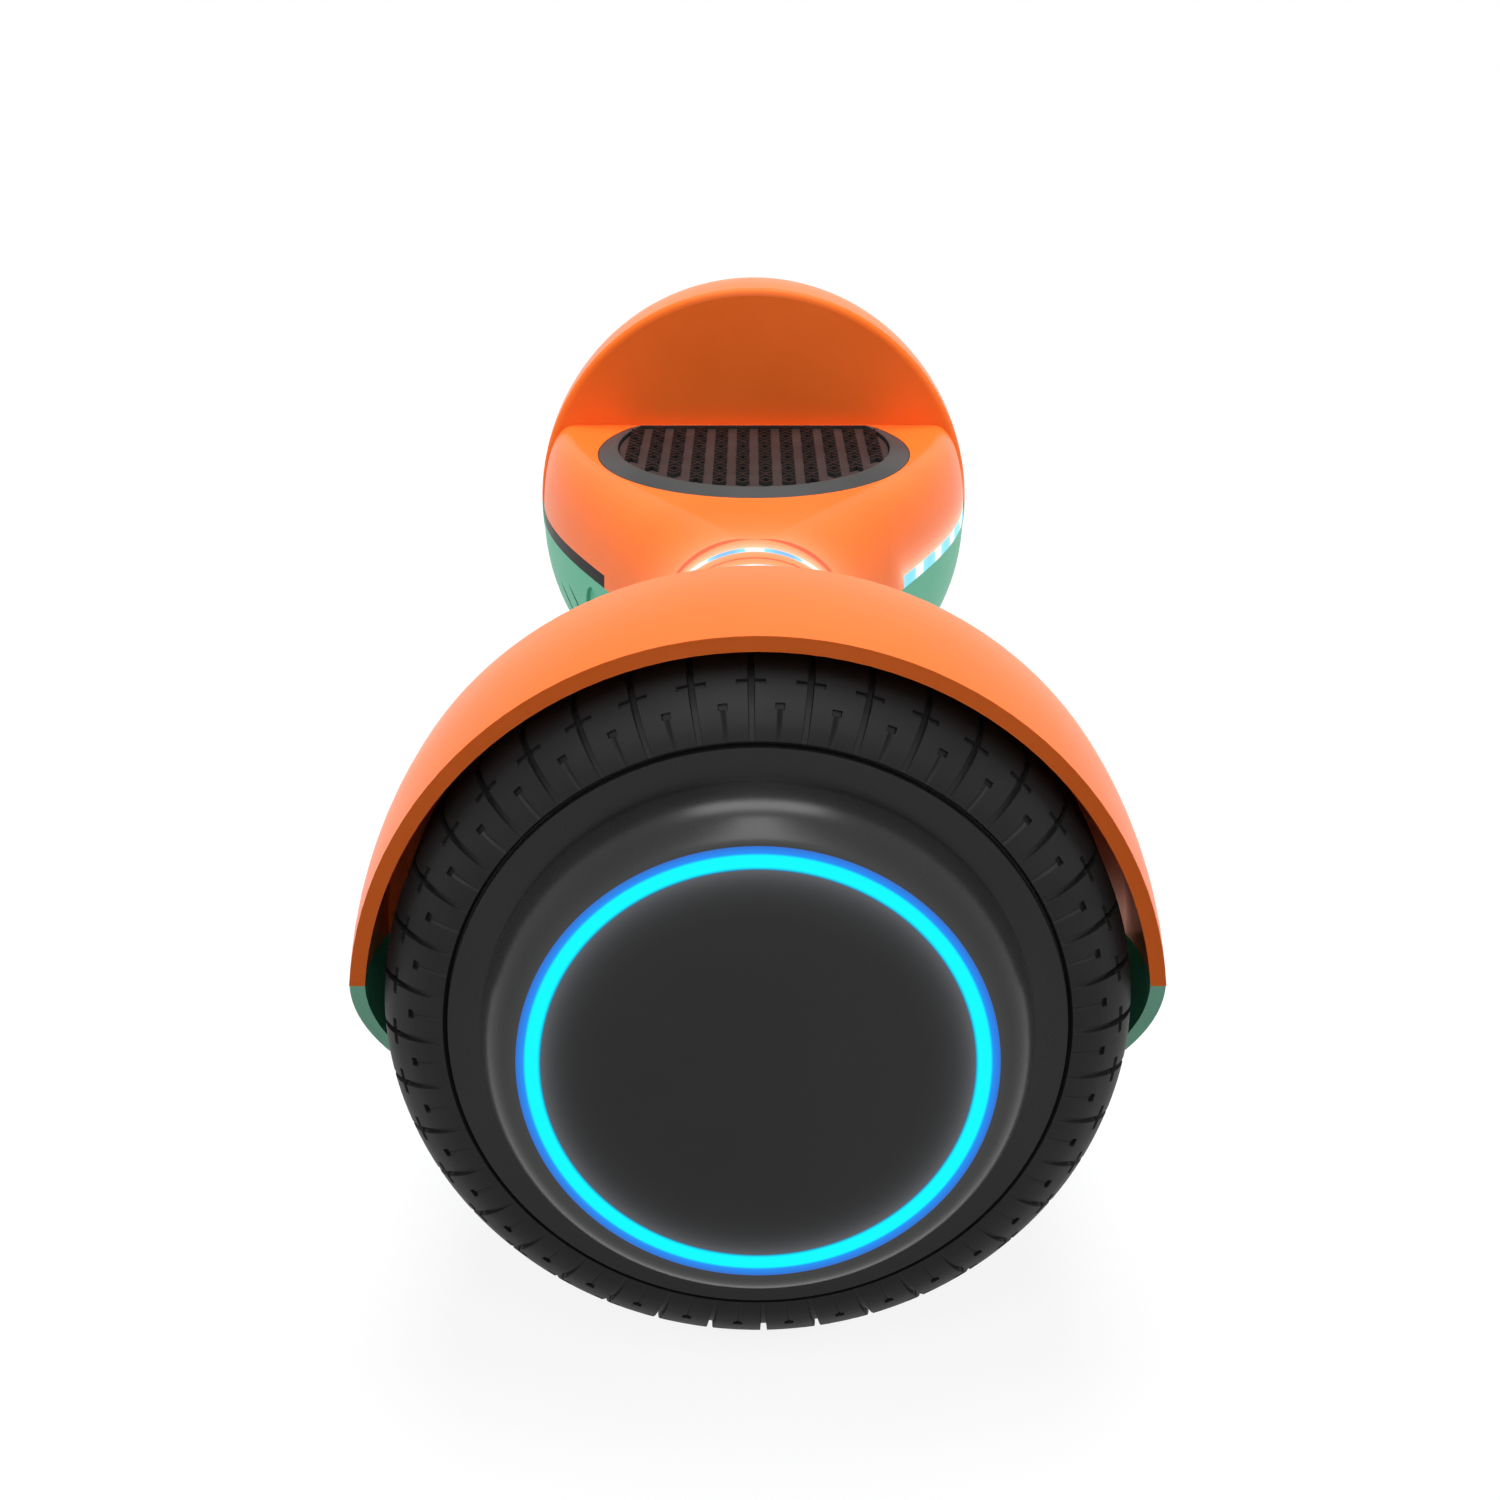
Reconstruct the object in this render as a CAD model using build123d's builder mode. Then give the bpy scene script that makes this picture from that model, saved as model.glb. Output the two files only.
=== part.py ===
"""Self balancing board: two mirrored halves that twist on a tube, each with a hub motor wheel.

X runs along the axle line, +Y is the front, +Z is up. The origin is on the floor, midway between
the wheels. Every piece of a half is drawn for the right half (+X) and mirrored for the left one.
"""

import os
from math import asin, degrees, pi, sin

from build123d import *

os.makedirs("parts", exist_ok=True)

# Overall form of one half. Heights are given from the axle line, where the shells part.
tyre_radius = 85.0
well_clearance = 3.3
fender_wall = 3.5
belly_drop = 51.0
belly_trim = 0.3
deck_trim = 0.05
bulkhead_at = 220.0
wall = 3.0
pad_floor_skin = 3.0
fender_setback = 5.0
fender_split_rise = 10.0
cheek_drop = 40.0
cheek_setback = 3.0
fender_crown = 2.6
crown_setback = 17.0
crest_rounding = 3.0
flare_power = 1.2
neck_corner = 31.0
fender_corner = 13.8
neck_belly = 4.0
belly_share = 0.545
neck_pull = 0.56
body_pull = 0.63
overcut = 1.0

# Neck, pivot tube and twist stop.
half_gap = 0.6
collar_end = 24.5
collar_wall = 5.0
collar_gap = 3.0
seam = 0.4
neck_light_at = 8.0
neck_light_width = 5.5
neck_light_depth = 2.4
tube_radius = 16.0
tube_wall = 3.0
boss_face = 2.0
boss_end = 44.0
bush_wall = 2.0
bush_length = 14.0
bush_flange = 1.7
stop_pin_radius = 3.0
stop_land = 1.2
stop_pin_reach = 9.0
twist_limit = 10.0
ring_width = 1.6
ring_height = 2.5
ring_groove = 1.0
ring_opening = 6.0
tube_overhang = 4.0
tube_pin_at = 32.0
tube_pin_radius = 2.5
collar_flange = 4.0

# Foot pad.
pad_centre = 168.0
pad_long = 82.6
pad_wide = 64.5
pad_to_bulkhead = 5.3
pad_recess = 3.0
pad_gap = 0.35
rim_width = 8.0
rim_rise = 2.5
rim_foot = 1.0
pad_travel = 1.5
mat_thickness = 2.6
strip_pitch = 9.0
strip_width = 5.2
strip_rise = 1.0
strip_count = 13
plunger_length = 6.3
plunger_radius = 4.0
plunger_spread_x = 70.0
plunger_spread_y = 56.0

# Wheel and hub motor.
tyre_width = 49.0
wheel_gap = 3.0
rim_radius = 62.0
rim_inset = 2.0
crown_width = 23.0
bead_band = 3.3
flange_step = 4.0
cover_thickness = 4.0
cover_skin = 1.5
cover_boss = 20.0
rim_wall = 5.0
magnet_depth = 2.5
magnet_count = 30
air_gap = 0.7
stack_length = 20.0
slot_count = 18
slot_deep = 24.0
slot_wide = 6.5
slot_tip = 2.5
slot_mouth = 2.2
coil_rise = 4.0
coil_wide = 5.5
magnet_width = 9.6
magnet_seat = 0.25
bead_step = 2.2
shoulder_pull = 0.4
axle_radius = 7.5
axle_shoulder = 11.0
bearing_radius = 16.0
bearing_width = 9.0
bearing_wall = 4.0
running_fit = 0.05
moving_gap = 0.3
cap_ring_thickness = 2.8
cap_ring_band = 7.8
cap_rise = 14.0
cap_slope_width = 9.1
light_width = 5.4
light_depth = 3.0
disc_crown = 2.2
cap_wall = 2.5
cap_lip = 0.6
cap_bulge = 6.0

# Frame and what is bolted to it.
plate_thickness = 5.0
plate_margin = 9.0
plate_start = 38.0
clamp_rise = 7.0
clamp_gap = 0.4
frame_gap = 6.0
rib_height = 9.0
rib_thickness = 4.0
clamp_length = 26.0
clamp_half = 24.0
clamp_depth = 14.0
clamp_screw_at = 16.0
screw_radius = 2.0
screw_head = 4.0
screw_head_height = 3.0
post_radius = 6.0
well_wall = 3.0
neck_post_at = 66.0
neck_post_side = 20.0
wheel_post_inset = 23.0
wheel_post_side = 58.0
post_sink = 8.0
screw_reach = 12.0
screw_fit = 0.05
screw_end_gap = 1.0
board_thickness = 1.6
switch_height = 2.1
battery_length = 94.0
battery_width = 66.0
battery_height = 38.0
battery_gap = 6.0
strap_width = 24.0
strap_thickness = 1.5
strap_tab = 9.0
board_margin = 18.0
sink_height = 15.0
sink_length = 66.0
sink_width = 18.0
sink_edge = 7.0
sink_pitch = 8.0
sink_fins = 8
capacitor_radius = 7.0
capacitor_height = 14.0

# Side strips, inlet and button.
strip_height = 5.0
strip_start = 84.0
strip_to_bulkhead = 3.0
vent_count = 5
vent_pitch = 9.0
vent_length = 36.0
vent_width = 3.0
port_at = 150.0
port_drop = 20.0
port_width = 26.0
port_tall = 24.0
port_depth = 7.0
inlet_bore = 6.0
inlet_wall = 2.0
inlet_depth = 12.0
cap_clearance = 0.5
flap_thickness = 2.5
button_at = 116.0
button_radius = 6.0
button_travel = 1.2
button_pocket = 8.0
button_pocket_radius = 9.0
button_flange = 2.0
button_rise = 4.0
contact_radius = 0.8
contact_length = 3.5
key_rounding = 1.0
relief_depth = 1.5
pocket_at = 99.0
pocket_drop = 15.0
pocket_wide = 17.0
pocket_tall = 22.0
groove_width = 3.2
groove_drop = 17.0

# Places worked out from the sizes above.
axle_height = tyre_radius
split_height = axle_height
belly_height = axle_height - belly_drop
port_height = axle_height - port_drop
fender_radius = tyre_radius + well_clearance + fender_wall
stop_pin_at = tube_radius + bush_wall + stop_land + moving_gap + stop_pin_radius
boss_radius = stop_pin_at + stop_pin_radius + moving_gap + stop_land
collar_radius = boss_radius + collar_gap + collar_wall
deck_height = axle_height + collar_radius
flange_radius = rim_radius + flange_step
bead_radius = flange_radius + bead_band
cap_step_radius = bead_radius - cap_ring_band
light_outer = cap_step_radius - cap_slope_width
light_inner = light_outer - light_width
axle_line = Axis((0, 0, axle_height), (1, 0, 0))
wheel_section = Plane(origin=(0, 0, axle_height), x_dir=(1, 0, 0), z_dir=(0, -1, 0))
bulkhead_out = bulkhead_at + wall
tyre_centre = bulkhead_out + wheel_gap + tyre_width / 2
fender_end = tyre_centre + tyre_width / 2 - fender_setback
crown_at = bulkhead_at + crown_setback
fender_split = split_height + fender_split_rise
cheek_foot = axle_height - cheek_drop
frame_end = bulkhead_at - frame_gap
strip_end = bulkhead_at - strip_to_bulkhead
wheel_post_at = bulkhead_at - wheel_post_inset
pad_edge = bulkhead_at - pad_to_bulkhead
shell_start = collar_end + seam
plate_bottom = split_height + strip_height
plate_top = plate_bottom + plate_thickness
pad_floor = deck_height - pad_recess
deck_skin = pad_recess + pad_floor_skin
pad_middle = (pad_centre - pad_long + pad_edge) / 2
mat_bottom = pad_floor + pad_travel + moving_gap
mat_inset = pad_gap + rim_width + moving_gap
board_top = mat_bottom - plunger_length - pad_travel - moving_gap - switch_height
board_bottom = board_top - board_thickness
seat_half = tyre_width / 2 - cover_thickness - rim_inset
rim_start = tyre_centre - seat_half
rim_end = tyre_centre + seat_half
cover_in = rim_start - cover_thickness
cover_out = rim_end + cover_thickness
cap_ring_face = cover_out + cap_ring_thickness
light_face = cap_ring_face + cap_rise
bearing_in_at = cover_in + cover_skin
bearing_out_at = cover_out - cover_skin - bearing_width
stack_start = tyre_centre - stack_length / 2
magnet_face = rim_radius - rim_wall - magnet_depth
clamp_start = frame_end - clamp_length
battery_inboard = clamp_start - battery_gap - battery_length
plunger_spots = [
    (pad_middle + x * plunger_spread_x / 2, y * plunger_spread_y / 2) for x in (-1, 1) for y in (-1, 1)
]
post_spots = [(neck_post_at, hand * neck_post_side) for hand in (-1, 1)]
post_spots += [(wheel_post_at, hand * wheel_post_side) for hand in (-1, 1)]


def across(station):
    """Plane square to the axle at a station along it, centred on the axle."""
    return Plane(origin=(station, 0, axle_height), x_dir=(0, 1, 0), z_dir=(1, 0, 0))


def write_piece(piece, name):
    piece.label = name
    export_step(piece, f"parts/{name}.step")


def write_pair(piece, name):
    """Write the right-hand piece as drawn and its mirror image for the left half."""
    write_piece(piece, f"right_{name}")
    write_piece(mirror(piece, about=Plane.YZ), f"left_{name}")


def spread(station):
    """Share of the way from the neck's width to the fender's width at a station."""
    along = (station - collar_end) / (bulkhead_at - collar_end)
    return sin(along * pi / 2) ** flare_power


def settle(station):
    """Share of the way from the collar's depth to the belly's, reached where the pad begins."""
    along = (station - collar_end) / (pad_centre - pad_long - collar_end)
    return sin(min(along, 1.0) * pi / 2) ** 2


def half_width(station):
    return collar_radius + (fender_radius - collar_radius) * spread(station)


def body_section(station, inset=0.0, skin=0.0):
    """Closed outline of the body at a station: flat deck, bulging sides and rounded belly."""
    reach = half_width(station)
    corner = neck_corner + (fender_corner - neck_corner) * spread(station)
    bottom = collar_radius + (belly_drop + belly_trim - collar_radius) * settle(station)
    deck_half = reach - corner - inset / 2
    belly_half = neck_belly + (belly_share * reach - neck_belly) * settle(station) - inset / 2
    side = reach - inset
    roof = collar_radius + deck_trim - skin
    floor = -(bottom - inset)
    pull = neck_pull + (body_pull - neck_pull) * settle(station)
    with BuildSketch(across(station)) as section:
        with BuildLine():
            for hand in (1, -1):
                Bezier(
                    (hand * deck_half, roof),
                    (hand * (deck_half + pull * (side - deck_half)), roof),
                    (hand * side, pull * roof),
                    (hand * side, 0),
                )
                Bezier(
                    (hand * side, 0),
                    (hand * side, pull * floor),
                    (hand * (belly_half + pull * (side - belly_half)), floor),
                    (hand * belly_half, floor),
                )
            Line((-deck_half, roof), (deck_half, roof))
            Line((-belly_half, floor), (belly_half, floor))
        make_face()
    return section.sketch.faces()[0]


def arch_radius(station):
    """Outer radius of the fender at a station; its crown lies nearer the bulkhead than the rim."""
    return fender_radius + fender_crown * (1 - ((station - crown_at) / (fender_end - crown_at)) ** 2)


def arch_profile(start, inset=0.0):
    """Half section of the crowned fender from a station to its open end, for turning on the axle."""
    middle = (start + fender_end) / 2
    back = (start, arch_radius(start) - inset)
    front = (fender_end, fender_radius - inset)
    with BuildSketch(wheel_section) as profile:
        with BuildLine():
            Polyline(back, (start, 0), (fender_end, 0), front)
            ThreePointArc(front, (middle, arch_radius(middle) - inset), back)
        make_face()
    return profile.sketch


def pad_outline(height, inset=0.0):
    """Ellipse of the foot pad with its straight edge beside the bulkhead."""
    with BuildSketch(Plane.XY.offset(height)) as outline:
        with Locations((pad_centre, 0)):
            Ellipse(pad_long - inset, pad_wide - inset)
        with Locations((pad_edge - inset, 0)):
            Rectangle(pad_long, 3 * pad_wide, align=(Align.MIN, Align.CENTER), mode=Mode.SUBTRACT)
    return outline.sketch


# Outer form and cavity of one half, from which both shells and the side strips are cut.
stations = [shell_start + (bulkhead_at - shell_start) * step / 8 for step in range(9)]

with BuildPart() as body_form:
    loft(sections=[body_section(station) for station in stations])
    extrude(body_section(bulkhead_at), amount=wall)
    split(bisect_by=Plane.XY.offset(deck_height), keep=Keep.BOTTOM)
    split(bisect_by=Plane.XY.offset(belly_height), keep=Keep.TOP)

with BuildPart() as fender_form:
    revolve(arch_profile(bulkhead_at), axis=axle_line)
    with BuildSketch(Plane.XZ):
        with BuildLine():
            Polyline(
                (bulkhead_at, -tyre_radius),
                (bulkhead_at, cheek_foot),
                (fender_end - cheek_setback, fender_split),
                (fender_end + overcut, fender_split),
                (fender_end + overcut, -tyre_radius),
                close=True,
            )
        make_face()
    extrude(amount=2 * fender_radius, both=True, mode=Mode.SUBTRACT)
    crest = fender_form.edges().filter_by(GeomType.CIRCLE).sort_by(Axis.X)[0]
    fillet(crest, radius=crest_rounding)

with BuildPart() as cavity:
    loft(sections=[body_section(station, wall, deck_skin) for station in stations])
    extrude(body_section(shell_start, wall, wall), amount=-1)

with BuildPart() as wheel_well:
    revolve(arch_profile(bulkhead_out, fender_wall), axis=axle_line)
    with BuildSketch(across(fender_end)):
        Circle(fender_radius - fender_wall)
    extrude(amount=overcut)

with BuildPart() as upper_region:
    with BuildSketch(Plane.XZ):
        with BuildLine():
            Polyline(
                (0, split_height),
                (bulkhead_at, split_height),
                (fender_end, fender_split),
                (fender_end + overcut, fender_split),
                (fender_end + overcut, 3 * axle_height),
                (0, 3 * axle_height),
                close=True,
            )
        make_face()
    extrude(amount=2 * fender_radius, both=True)

with BuildPart() as strip_band:
    with BuildSketch(Plane.XY.offset(split_height)):
        with Locations(((strip_start + strip_end) / 2, 0)):
            Rectangle(strip_end - strip_start, 4 * fender_radius)
    extrude(amount=strip_height)

with BuildPart() as half_shell:
    add(body_form.part)
    add(fender_form.part)
    add(cavity.part, mode=Mode.SUBTRACT)
    add(wheel_well.part, mode=Mode.SUBTRACT)
    with BuildSketch(across(bulkhead_at - overcut)):
        Circle(axle_radius + wall)
    extrude(amount=wall + 2 * overcut, mode=Mode.SUBTRACT)

# Screw posts: the top shell's stand on the frame plate, the bottom shell's reach up to it.
with BuildPart() as top_posts:
    with BuildSketch(Plane.XY.offset(plate_top)):
        with Locations(post_spots):
            Circle(post_radius)
    extrude(amount=pad_floor - seam - plate_top)
    with BuildSketch(Plane.XY.offset(plate_top)):
        with Locations(post_spots):
            Circle(screw_radius + screw_fit)
    extrude(amount=screw_reach, mode=Mode.SUBTRACT)

with BuildPart() as bottom_posts:
    with BuildSketch(Plane.XY.offset(belly_height)):
        with Locations(post_spots):
            Circle(screw_head + screw_fit + well_wall)
    extrude(amount=plate_bottom - belly_height)
    add(body_form.part, mode=Mode.INTERSECT)

with BuildPart() as screw_wells:
    with BuildSketch(Plane.XY):
        with Locations(post_spots):
            Circle(screw_head + screw_fit)
    extrude(amount=plate_bottom - post_sink)
    with BuildSketch(Plane.XY.offset(plate_bottom - post_sink)):
        with Locations(post_spots):
            Circle(screw_radius + screw_fit)
    extrude(amount=post_sink)

# Orange top shell: fender arch, bulkhead and foot deck with its pad recess.
with BuildPart() as top_shell:
    add(half_shell.part)
    add(upper_region.part, mode=Mode.INTERSECT)
    add(strip_band.part, mode=Mode.SUBTRACT)
    add(top_posts.part)
    extrude(pad_outline(pad_floor), amount=pad_recess + overcut, mode=Mode.SUBTRACT)
    with BuildSketch(Plane.XY.offset(pad_floor)):
        with Locations(plunger_spots):
            Circle(plunger_radius + moving_gap)
    extrude(amount=-deck_skin, mode=Mode.SUBTRACT)
write_pair(top_shell.part, "top_shell")

# Green bottom shell: belly, wheel-side cheeks and vents.
with BuildPart() as bottom_shell:
    add(half_shell.part)
    add(upper_region.part, mode=Mode.SUBTRACT)
    add(bottom_posts.part)
    add(screw_wells.part, mode=Mode.SUBTRACT)
    with BuildSketch(Plane.XY):
        with Locations((pad_middle, 0)):
            with GridLocations(0, vent_pitch, 1, vent_count):
                SlotOverall(vent_length, vent_width)
    extrude(amount=belly_height + 2 * wall, mode=Mode.SUBTRACT)

# Shallow relief in the rear of the left bottom shell: an oval pocket and two tapering grooves.
with BuildPart() as relief_floor:
    loft(sections=[body_section(station, relief_depth, relief_depth) for station in stations])

with BuildPart() as rear_relief:
    with BuildSketch(Plane.XZ):
        with Locations((pocket_at, axle_height - pocket_drop)):
            Ellipse(pocket_wide / 2, pocket_tall / 2)
        for step in (1, 2):
            tip = (pocket_at + step * pocket_wide, axle_height - groove_drop - groove_width * step)
            with BuildLine():
                Bezier(
                    (tip[0] - pocket_wide / 3, tip[1] - groove_drop / 2),
                    (tip[0], tip[1] + groove_width),
                    (tip[0] + pocket_wide, tip[1] + groove_drop / 2),
                )
                Bezier(
                    (tip[0] + pocket_wide, tip[1] + groove_drop / 2),
                    (tip[0] + groove_width, tip[1]),
                    (tip[0] - pocket_wide / 3, tip[1] - groove_drop / 2),
                )
            make_face()
    extrude(amount=fender_radius)
    add(relief_floor.part, mode=Mode.SUBTRACT)

with BuildPart() as left_bottom_shell:
    add(bottom_shell.part)
    add(rear_relief.part, mode=Mode.SUBTRACT)
write_piece(mirror(left_bottom_shell.part, about=Plane.YZ), "left_bottom_shell")

# The right bottom shell also carries the charge inlet and the power button on its rear side.
port_floor = -(half_width(port_at) - port_depth)
button_floor = -(half_width(button_at) - button_pocket)
rear_port = Plane(origin=(port_at, port_floor, port_height), x_dir=(1, 0, 0), z_dir=(0, -1, 0))
rear_button = Plane(origin=(button_at, button_floor, port_height), x_dir=(1, 0, 0), z_dir=(0, -1, 0))

with BuildPart() as rear_housing:
    with BuildSketch(rear_port.offset(-wall)):
        Rectangle(port_width + 2 * wall, port_tall + 2 * wall)
    extrude(amount=2 * port_depth)
    with BuildSketch(rear_button.offset(-wall)):
        Circle(button_pocket_radius + wall)
    extrude(amount=2 * button_pocket)
    add(body_form.part, mode=Mode.INTERSECT)

with BuildPart() as right_bottom_shell:
    add(bottom_shell.part)
    add(rear_housing.part)
    with BuildSketch(rear_port):
        Rectangle(port_width, port_tall)
    extrude(amount=3 * port_depth, mode=Mode.SUBTRACT)
    with BuildSketch(rear_port.offset(-wall)):
        Circle(inlet_bore + inlet_wall)
    extrude(amount=wall, mode=Mode.SUBTRACT)
    with BuildSketch(rear_button):
        Circle(button_pocket_radius)
    extrude(amount=3 * button_pocket, mode=Mode.SUBTRACT)
    with BuildSketch(rear_button.offset(-wall)):
        Circle(button_radius + moving_gap)
    extrude(amount=wall, mode=Mode.SUBTRACT)
write_piece(right_bottom_shell.part, "right_bottom_shell")

# Light strip let into the front edge of the top shell, and plain trim strip into the rear edge.
with BuildPart() as side_strip:
    add(body_form.part)
    add(strip_band.part, mode=Mode.INTERSECT)
    add(cavity.part, mode=Mode.SUBTRACT)
    split(bisect_by=Plane.XZ, keep=Keep.BOTTOM)
write_pair(side_strip.part, "front_light_strip")
write_pair(mirror(side_strip.part, about=Plane.XZ), "rear_trim_strip")

# Neck collar: a sleeve on the frame's boss, grooved for the lit ring.
with BuildPart() as neck_collar:
    with BuildSketch(wheel_section):
        with BuildLine():
            Polyline(
                (half_gap, collar_radius - collar_wall),
                (half_gap, collar_radius),
                (neck_light_at, collar_radius),
                (neck_light_at, collar_radius - neck_light_depth),
                (neck_light_at + neck_light_width, collar_radius - neck_light_depth),
                (neck_light_at + neck_light_width, collar_radius),
                (collar_end, collar_radius),
                (collar_end, boss_radius),
                (collar_end - collar_flange, boss_radius),
                (collar_end - collar_flange, collar_radius - collar_wall),
                close=True,
            )
        make_face()
    revolve(axis=axle_line)
write_pair(neck_collar.part, "neck_collar")

with BuildPart() as neck_light_ring:
    with BuildSketch(across(neck_light_at)):
        Circle(collar_radius)
        Circle(collar_radius - neck_light_depth, mode=Mode.SUBTRACT)
    extrude(amount=neck_light_width)
write_pair(neck_light_ring.part, "neck_light_ring")

# Frame casting: neck boss, ribbed plate and the upper half of the axle clamp.
plate_line = [
    (station, half_width(station) - plate_margin) for station in (plate_start, *stations[2:8], frame_end)
]

with BuildPart() as frame_casting:
    with BuildSketch(Plane.XY.offset(plate_bottom)):
        with BuildLine():
            Polyline(*plate_line, *[(x, -y) for x, y in reversed(plate_line)], close=True)
        make_face()
    extrude(amount=plate_thickness)
    with BuildSketch(Plane.XY.offset(plate_bottom)):
        with BuildLine():
            Polyline(*plate_line, *[(x, -y) for x, y in reversed(plate_line)], close=True)
        make_face()
        offset(amount=-rib_thickness, mode=Mode.SUBTRACT)
    extrude(amount=-rib_height)
    with BuildSketch(Plane.XY.offset(plate_bottom)):
        with Locations((clamp_start - wall, 0)):
            Rectangle(2 * clamp_length, 2 * (clamp_half + seam), align=(Align.MIN, Align.CENTER))
    extrude(amount=-rib_height, mode=Mode.SUBTRACT)
    with BuildSketch(across(boss_face)):
        Circle(boss_radius)
    extrude(amount=boss_end - boss_face)
    with BuildSketch(Plane.XZ):
        with BuildLine():
            Polyline(
                (boss_end - rib_thickness, plate_bottom),
                (boss_end - rib_thickness, axle_height - boss_radius + rib_thickness),
                (neck_post_at - post_radius, plate_bottom),
                close=True,
            )
        make_face()
    extrude(amount=rib_thickness, both=True)
    with BuildSketch(across(boss_end)):
        Circle(tube_radius + ring_height + seam)
    extrude(amount=tube_overhang + moving_gap, mode=Mode.SUBTRACT)
    with BuildSketch(Plane.XY.offset(axle_height)):
        with Locations((clamp_start, 0)):
            Rectangle(clamp_length, 2 * clamp_half, align=(Align.MIN, Align.CENTER))
    extrude(amount=plate_top + clamp_rise - axle_height)
    with BuildSketch(Plane.XY.offset(plate_bottom)):
        with Locations(post_spots):
            Circle(screw_radius + screw_fit)
    extrude(amount=plate_thickness, mode=Mode.SUBTRACT)
    with BuildSketch(across(clamp_start)):
        Circle(axle_radius)
    extrude(amount=clamp_length, mode=Mode.SUBTRACT)
    with BuildSketch(Plane.XY.offset(axle_height)):
        with Locations((clamp_start + clamp_length / 2, 0)):
            with GridLocations(clamp_length / 2, 2 * clamp_screw_at, 2, 2):
                Circle(screw_radius + screw_fit)
    extrude(amount=screw_reach, mode=Mode.SUBTRACT)

with BuildPart() as right_frame:
    add(frame_casting.part)
    with BuildSketch(across(boss_face)):
        Circle(tube_radius)
    extrude(amount=boss_end - boss_face, mode=Mode.SUBTRACT)
    with BuildSketch(across(boss_face)):
        with Locations((0, stop_pin_at)):
            Circle(stop_pin_radius)
    extrude(amount=stop_pin_reach, mode=Mode.SUBTRACT)
    with BuildSketch(Plane.XY.offset(axle_height - boss_radius)):
        with Locations((tube_pin_at, 0)):
            Circle(tube_pin_radius)
    extrude(amount=boss_radius, mode=Mode.SUBTRACT)
write_piece(right_frame.part, "right_frame")

slot_swing = twist_limit + degrees(asin(moving_gap / stop_pin_at))
slot_path = CenterArc((0, 0), stop_pin_at, 90 - slot_swing, 2 * slot_swing)
with BuildPart() as left_frame:
    add(mirror(frame_casting.part, about=Plane.YZ))
    with BuildSketch(across(-boss_end)):
        Circle(tube_radius + bush_wall)
    extrude(amount=boss_end - boss_face, mode=Mode.SUBTRACT)
    with BuildSketch(across(-boss_face)):
        SlotArc(slot_path, 2 * (stop_pin_radius + moving_gap))
    extrude(amount=-stop_pin_reach, mode=Mode.SUBTRACT)
write_piece(left_frame.part, "left_frame")

# Pivot: the tube is pinned in the right boss and turns in bushes pressed into the left boss.
with BuildPart() as pivot_tube:
    with BuildSketch(across(-boss_end - tube_overhang)):
        Circle(tube_radius)
        Circle(tube_radius - tube_wall, mode=Mode.SUBTRACT)
    extrude(amount=2 * boss_end + tube_overhang)
    with BuildSketch(across(-boss_end - moving_gap)):
        Circle(tube_radius + overcut)
        Circle(tube_radius - ring_groove, mode=Mode.SUBTRACT)
    extrude(amount=-ring_width, mode=Mode.SUBTRACT)
    with BuildSketch(Plane.XY.offset(axle_height - boss_radius)):
        with Locations((tube_pin_at, 0)):
            Circle(tube_pin_radius)
    extrude(amount=boss_radius, mode=Mode.SUBTRACT)
write_piece(pivot_tube.part, "pivot_tube")

with BuildPart() as pivot_bushes:
    for start, reach in ((-boss_face, -bush_length), (-boss_end, bush_length)):
        with BuildSketch(across(start)):
            Circle(tube_radius + bush_wall)
            Circle(tube_radius + running_fit, mode=Mode.SUBTRACT)
        extrude(amount=reach)
    with BuildSketch(across(-boss_face)):
        Circle(stop_pin_at - stop_pin_radius - moving_gap - stop_land / 2)
        Circle(tube_radius + running_fit, mode=Mode.SUBTRACT)
    extrude(amount=2 * boss_face - moving_gap)
write_piece(pivot_bushes.part, "pivot_bushes")

with BuildPart() as retaining_ring:
    with BuildSketch(across(-boss_end - moving_gap)):
        Circle(tube_radius + ring_height)
        Circle(tube_radius - ring_groove, mode=Mode.SUBTRACT)
        with Locations((0, -tube_radius)):
            Rectangle(ring_opening, 4 * ring_height, mode=Mode.SUBTRACT)
    extrude(amount=-ring_width)
write_piece(retaining_ring.part, "retaining_ring")

with BuildPart() as pivot_pins:
    with BuildSketch(across(boss_face + stop_pin_reach)):
        with Locations((0, stop_pin_at)):
            Circle(stop_pin_radius)
    extrude(amount=2 * moving_gap - 2 * (boss_face + stop_pin_reach))
    with BuildSketch(Plane.XY.offset(axle_height - boss_radius)):
        with Locations((tube_pin_at, 0)):
            Circle(tube_pin_radius)
    extrude(amount=boss_radius - tube_radius + tube_wall)
write_piece(pivot_pins.part, "pivot_pins")

# Axle clamp cap and the screws of one half.
with BuildPart() as axle_clamp:
    with BuildSketch(Plane.XY.offset(axle_height - clamp_gap)):
        with Locations((clamp_start, 0)):
            Rectangle(clamp_length, 2 * clamp_half, align=(Align.MIN, Align.CENTER))
    extrude(amount=-clamp_depth)
    fillet(axle_clamp.edges().filter_by(Axis.X).group_by(Axis.Z)[0], radius=rib_thickness)
    with BuildSketch(across(clamp_start)):
        Circle(axle_radius)
    extrude(amount=clamp_length, mode=Mode.SUBTRACT)
    with BuildSketch(Plane.XY.offset(axle_height - clamp_gap - clamp_depth)):
        with Locations((clamp_start + clamp_length / 2, 0)):
            with GridLocations(clamp_length / 2, 2 * clamp_screw_at, 2, 2):
                Circle(screw_radius + screw_fit)
    extrude(amount=clamp_depth, mode=Mode.SUBTRACT)
write_pair(axle_clamp.part, "axle_clamp")

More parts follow.
